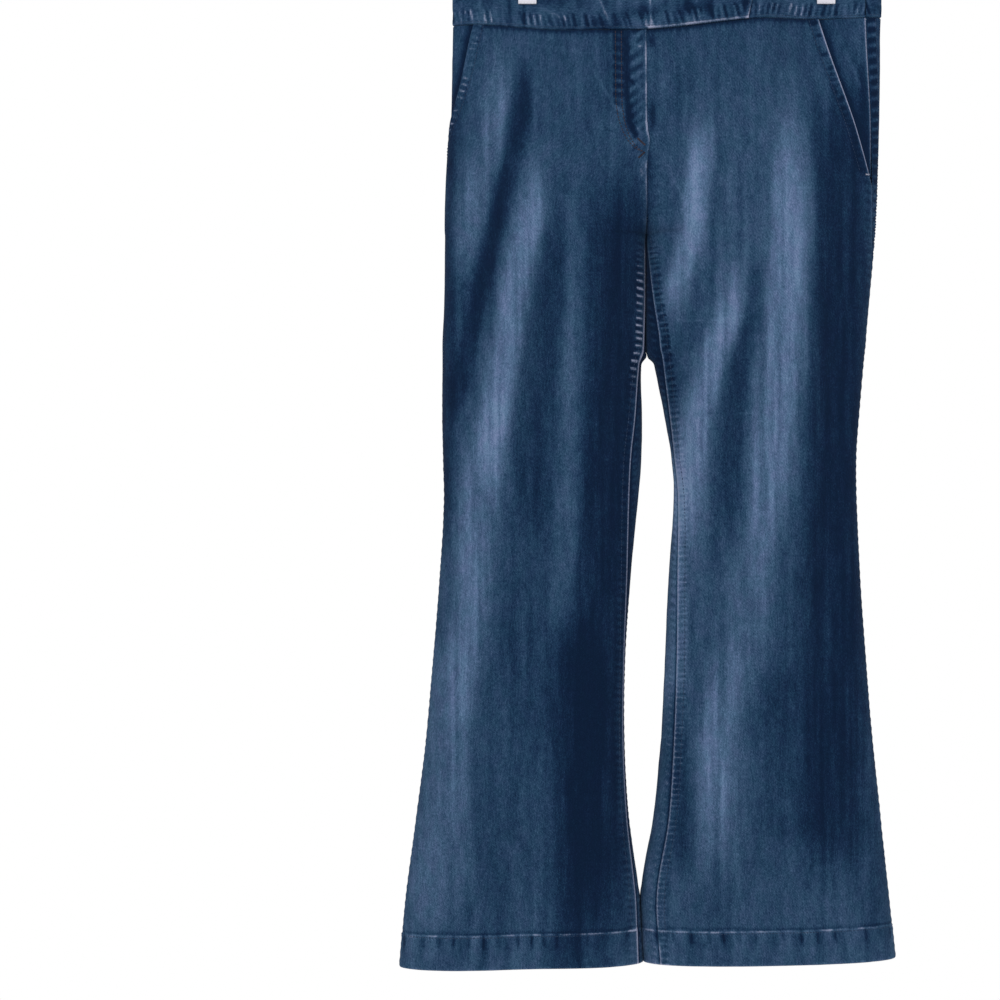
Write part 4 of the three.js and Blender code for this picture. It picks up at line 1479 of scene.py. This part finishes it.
def hanger_bar(material):
    """A rod with a hub in the middle and a rounded knob at each end, swollen ring by ring."""
    deselect()
    bpy.ops.mesh.primitive_cylinder_add(
        vertices=28, radius=BAR_RADIUS * MM, depth=BAR_HUB_WIDTH * MM, location=(0, 0, BAR_Z * MM),
        rotation=(0, math.pi / 2, 0), end_fill_type="NGON",
    )
    bar = bpy.context.object
    bpy.ops.object.transform_apply(location=True, rotation=True, scale=True)
    half = BAR_LENGTH / 2
    profile = (
        (0, BAR_HUB_RADIUS),
        (0.8, BAR_RADIUS),
        (half - 8 - BAR_HUB_WIDTH / 2 - 0.8, BAR_RADIUS),
        (1.0, BAR_KNOB_RADIUS),
        (5.6, BAR_KNOB_RADIUS),
        (1.4, 0.62 * BAR_KNOB_RADIUS),
    )
    in_edit_mode(bar)
    for direction in (1, -1):
        size = BAR_RADIUS
        centre = [direction * BAR_HUB_WIDTH / 2 * MM, 0, BAR_Z * MM]
        select_rim(bar, lambda place, normal: normal.x * direction > 0.9 and place.x * direction > 0)
        for step, radius in profile:
            if step:
                move = (direction * step * MM, 0, 0)
                bpy.ops.mesh.extrude_region_move(TRANSFORM_OT_translate={"value": move})
                centre[0] += move[0]
            share = radius / size
            bpy.ops.transform.resize(value=(1, share, share), center_override=tuple(centre))
            size = radius
    bpy.ops.object.mode_set(mode="OBJECT")
    soften = bar.modifiers.new("soften", "BEVEL")
    soften.width, soften.segments, soften.limit_method = 0.0004, 3, "ANGLE"
    return finish_piece(bar, "hanger_bar_rod", material)


# One jaw from its pad up to its finger plate: distance out, height over the bar, thickness.
JAW_STATIONS = (
    (4.75, -54.5, 2.4),
    (4.9, -50.0, 3.4),
    (6.6, -43.5, 3.0),
    (7.7, -32.0, 2.4),
    (7.5, -19.0, 2.6),
    (4.9, -9.0, 3.4),
    (4.9, 0.0, 3.4),
    (4.6, 6.5, 3.6),
    (8.4, 13.2, 3.0),
    (11.0, 18.8, 2.0),
)
RIBS = 5


def clip_jaw(name, x, direction, material):
    """A moulded jaw, drawn up from the pad by extruding, with ribs on its gripping end."""
    deselect()
    (out, height, thick), *rest = JAW_STATIONS
    start = Vector((x, -direction * out, BAR_Z + height)) * MM
    bpy.ops.mesh.primitive_plane_add(size=1, location=start)
    jaw = bpy.context.object
    jaw.scale = (CLIP_WIDTH * MM, thick * MM, 1)
    bpy.ops.object.transform_apply(location=True, rotation=True, scale=True)
    in_edit_mode(jaw)
    bpy.ops.mesh.select_all(action="SELECT")
    before, size = start, thick
    for out, height, thick in rest:
        place = Vector((x, -direction * out, BAR_Z + height)) * MM
        bpy.ops.mesh.extrude_region_move(TRANSFORM_OT_translate={"value": tuple(place - before)})
        bpy.ops.transform.resize(value=(1, thick / size, 1), center_override=tuple(place))
        before, size = place, thick
    bpy.ops.object.mode_set(mode="OBJECT")
    soften = jaw.modifiers.new("soften", "BEVEL")
    soften.width, soften.segments, soften.limit_method = 0.0007, 3, "ANGLE"
    soften.angle_limit = math.radians(50)
    finish_piece(jaw, name, material)
    ribs = []
    for k in range(RIBS):
        deselect()
        across = x + (k - (RIBS - 1) / 2) * CLIP_WIDTH / (RIBS + 0.4)
        place = Vector((across, -direction * (JAW_STATIONS[0][0] + 1.35), CLIP_TIP_Z + 6)) * MM
        bpy.ops.mesh.primitive_cube_add(size=1, location=place)
        rib = bpy.context.object
        rib.scale = (1.5 * MM, 1.1 * MM, 11 * MM)
        round_rib = rib.modifiers.new("round", "BEVEL")
        round_rib.width, round_rib.segments = 0.0004, 2
        ribs.append(finish_piece(rib, f"{name}_rib_{k}", material))
    deselect()
    for piece in [jaw, *ribs]:
        piece.select_set(True)
    bpy.context.view_layer.objects.active = jaw
    bpy.ops.object.join()
    return jaw


# Putting it together.

outside = denim("indigo twill, face", INDIGO, (0.36, 0.38, 0.52), 1.0, 0.5)
inside = denim("indigo twill, reverse", INSIDE, (0.45, 0.48, 0.55), 0.6, 0.4)
cloth_faces = [outside, inside]
navy_thread = thread_material("navy thread", (0.012, 0.028, 0.070), (0.045, 0.080, 0.150))
brown_thread = thread_material("brown thread", (0.025, 0.020, 0.031), (0.066, 0.051, 0.064))
pale_thread = thread_material("worn pale thread", (0.26, 0.27, 0.36), (0.48, 0.49, 0.58))
steel = steel_material()
white_clip = clip_material()

pieces = {}
for side in ("right", "left"):
    pieces[f"front_{side}"] = front_panel(side, cloth_faces)
    pieces[f"back_{side}"] = back_panel(side, cloth_faces)
    pieces[f"pocket_facing_{side}"] = pocket_facing(side, cloth_faces)
pieces["fly_shield"] = fly_shield(cloth_faces)
pieces["fly_zip"] = fly_zip([zip_tape_material()])
pieces["waistband_right"] = right_band(cloth_faces)
pieces["waistband_left"] = left_band(cloth_faces)
pieces["waistband_back"] = back_band(cloth_faces)


def front_height(side):
    return lambda a, h: front_surface(side, a, h)


def back_height(side):
    return lambda a, h: back_surface(side, a, h)


def band_height(name):
    return lambda a, h: band_surface(name, a, h)


def hemmed(surface):
    """A panel's surface with the hem's crown, for thread that lies on it."""
    return lambda a, h: (surface(a, h)[0] + hem_roping(a, h, 0)[0],)


def down(place, start, end, step=6.0):
    """A path down a panel, at place(h)."""
    heights = np.linspace(start, end, max(2, round((end - start) / step)))
    return [(float(place(h)), float(h)) for h in heights]


OVER = DENIM / 2
BAND_OVER = BAND_CLOTH / 2
FLY_STITCH = 34
FLY_STITCH_SECOND = 27.5
INSEAM_STITCH = 9.5
SIDE_STITCH = 10.5
POCKET_STITCH = 11.5
HEM_STITCH = HEM_FOLD_LINE + 2.5


def fly_path(reach):
    """Straight down beside the fly, then curving in to its foot."""
    bend = [(reach * math.cos(t), 118 + 66 * math.sin(t)) for t in np.linspace(0, 1.42, 14)]
    return [(reach, WAIST_SEAM + 1)] + bend


tonal_runs = []
for side in ("right", "left"):
    front, back = front_height(side), back_height(side)
    tonal_runs.append((side, front, OVER, down(lambda h: INSEAM_STITCH, CROTCH + 4, HEM_FOLD_LINE)))
    pocket_edge = lambda h, s=side: side_seam(s, h) - pocket_opening(s, h) - POCKET_STITCH
    tonal_runs.append((side, front, OVER, down(pocket_edge, WAIST_SEAM + 1, POCKETS[side]["tack"] - 4)))
    seam_edge = lambda h, s=side: side_seam(s, h) + SIDE_STITCH
    tonal_runs.append((side, back, OVER, down(seam_edge, WAIST_SEAM + 1, HEM_FOLD_LINE)))
    for inset in (3.0, 9.0):
        seat = lambda h, s=side, d=inset: all_round(s, h) - d
        tonal_runs.append((side, back, OVER, down(seat, WAIST_SEAM + 1, CROTCH - 6)))
    ends = (1.5, float(side_seam(side, HEM_STITCH)) - 1.5, float(all_round(side, HEM_STITCH)) - 1.5)
    tonal_runs.append((side, hemmed(front), OVER, [(ends[0], HEM_STITCH), (ends[1], HEM_STITCH)]))
    tonal_runs.append((side, hemmed(back), OVER, [(ends[1] + 3, HEM_STITCH), (ends[2], HEM_STITCH)]))
band_runs = []
for name, side, first, last in (
    ("waistband_right", "right", -TAB_LENGTH + 4, float(side_seam("right", 20)) - 2),
    ("waistband_left", "left", TAB_LENGTH + 3, float(side_seam("left", 20)) - 2),
    ("waistband_back", "right", float(side_seam("right", 20)) + 2,
     float(all_round("right", 20) + all_round("left", 20) - side_seam("left", 20)) - 2),
):
    for level in (2.6, BAND_HEIGHT - 2.6):
        band_runs.append((side, band_height(name), BAND_OVER, [(first, level), (last, level)]))
tab_stitch = -TAB_LENGTH + 4
tab_path = [(tab_stitch, 3), (tab_stitch, BAND_HEIGHT - 6)]
band_runs.append(("right", band_height("waistband_right"), BAND_OVER, tab_path))
brown_runs = [
    ("right", front_height("right"), OVER, fly_path(reach))
    for reach in (FLY_STITCH, FLY_STITCH_SECOND)
]

sew("seam_stitching", tonal_runs, navy_thread)
sew("waistband_stitching", band_runs, navy_thread)
sew("fly_stitching", brown_runs, brown_thread, FLY_THREAD_RADIUS)

pocket_tacks = []
for side in ("right", "left"):
    foot = POCKETS[side]["tack"]
    low = float(side_seam(side, foot) - pocket_opening(side, foot))
    pocket_tacks.append((side, front_height(side), OVER, (low - 5, foot), (low - 1, foot), 2.0))
bartacks("pocket_bartacks", pocket_tacks, pale_thread)
bartacks(
    "fly_bartacks",
    [
        ("right", front_height("right"), OVER, (2.5, 176), (10.5, 168), 2.4),
        ("right", front_height("right"), OVER, (3.0, 184), (9.5, 190), 2.4),
    ],
    brown_thread,
)

for side in ("right", "left"):
    held = ["waistband_back", f"waistband_{side}"]
    dress(*pieces[f"front_{side}"], f"front_{side}", held, turn_up=HEM - HEM_FOLD_LINE)
    dress(*pieces[f"back_{side}"], f"back_{side}", held, turn_up=HEM - HEM_FOLD_LINE)
    dress(*pieces[f"pocket_facing_{side}"], f"pocket_facing_{side}", [f"waistband_{side}"])
    dress(*pieces[f"waistband_{side}"], f"waistband_{side}", [f"clip_{side}_front"])
dress(*pieces["waistband_back"], "waistband_back", ["clip_right_back", "clip_left_back"])
dress(*pieces["fly_shield"], "fly_shield", ["waistband_right"])
dress(*pieces["fly_zip"], "fly_zip", ["waistband_right"])

hanger = [
    (hanger_hook(steel), "hanger_hook", "steel"),
    (hanger_bar(steel), "hanger_bar", "steel"),
]
for side, x in (("right", -CLIP_X), ("left", CLIP_X)):
    for face, direction in (("front", 1), ("back", -1)):
        jaw = clip_jaw(f"clip_{side}_{face}_jaw", x, direction, white_clip)
        hanger.append((jaw, f"clip_{side}_{face}", "clip_plastic"))
for piece, cad_node, finish in hanger:
    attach(piece, "root")
    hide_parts(cad_node)

# Camera, light and floor.

CAMERA_PLACE = Vector((-0.194, -2.4, -0.693))
LENS = 78.55
FLOOR_Z = cad_box[0][2] - 0.28


def area_light(name, place, aim, size, power):
    lamp = bpy.data.lights.new(name, "AREA")
    lamp.shape, lamp.size, lamp.energy = "DISK", size, power
    thing = bpy.data.objects.new(name, lamp)
    thing.location = place
    thing.rotation_euler = (Vector(aim) - Vector(place)).to_track_quat("-Z", "Y").to_euler()
    bpy.context.scene.collection.objects.link(thing)


camera = bpy.data.objects.new("camera", bpy.data.cameras.new("camera"))
camera.data.lens, camera.data.sensor_width = LENS, 36
camera.location = CAMERA_PLACE
camera.rotation_euler = (math.pi / 2, 0, 0)
bpy.context.scene.collection.objects.link(camera)
bpy.context.scene.camera = camera

area_light("key", (-1.6, -2.6, 0.9), (0, 0, -0.6), 1.4, 34)
area_light("fill", (2.0, -2.2, 0.2), (0, 0, -0.7), 1.8, 14)
area_light("rim", (0.6, 2.4, 0.8), (0, 0, -0.6), 1.6, 20)

world = bpy.data.worlds.new("studio")
world.use_nodes = True
sky = world.node_tree
background = sky.nodes["Background"]
seen = node(sky, "ShaderNodeBackground")
seen.inputs["Color"].default_value = (1, 1, 1, 1)
seen.inputs["Strength"].default_value = 1.0
background.inputs["Color"].default_value = (0.93, 0.96, 1.0, 1)
background.inputs["Strength"].default_value = 0.62
choose = node(sky, "ShaderNodeMixShader")
rays = node(sky, "ShaderNodeLightPath")
sky.links.new(rays.outputs["Is Camera Ray"], choose.inputs["Fac"])
sky.links.new(background.outputs["Background"], choose.inputs[1])
sky.links.new(seen.outputs["Background"], choose.inputs[2])
sky.links.new(choose.outputs["Shader"], sky.nodes["World Output"].inputs["Surface"])
bpy.context.scene.world = world
bpy.context.scene.view_settings.view_transform = "Standard"

deselect()
bpy.ops.mesh.primitive_circle_add(vertices=96, radius=0.9, fill_type="NGON", location=(0, 0.1, FLOOR_Z))
floor = bpy.context.object
bpy.ops.object.transform_apply(location=True, rotation=True, scale=True)
floor.name = "floor"
floor.data.materials.append(plain_material("pale floor", (0.86, 0.86, 0.86), 0.7))

bpy.context.view_layer.update()
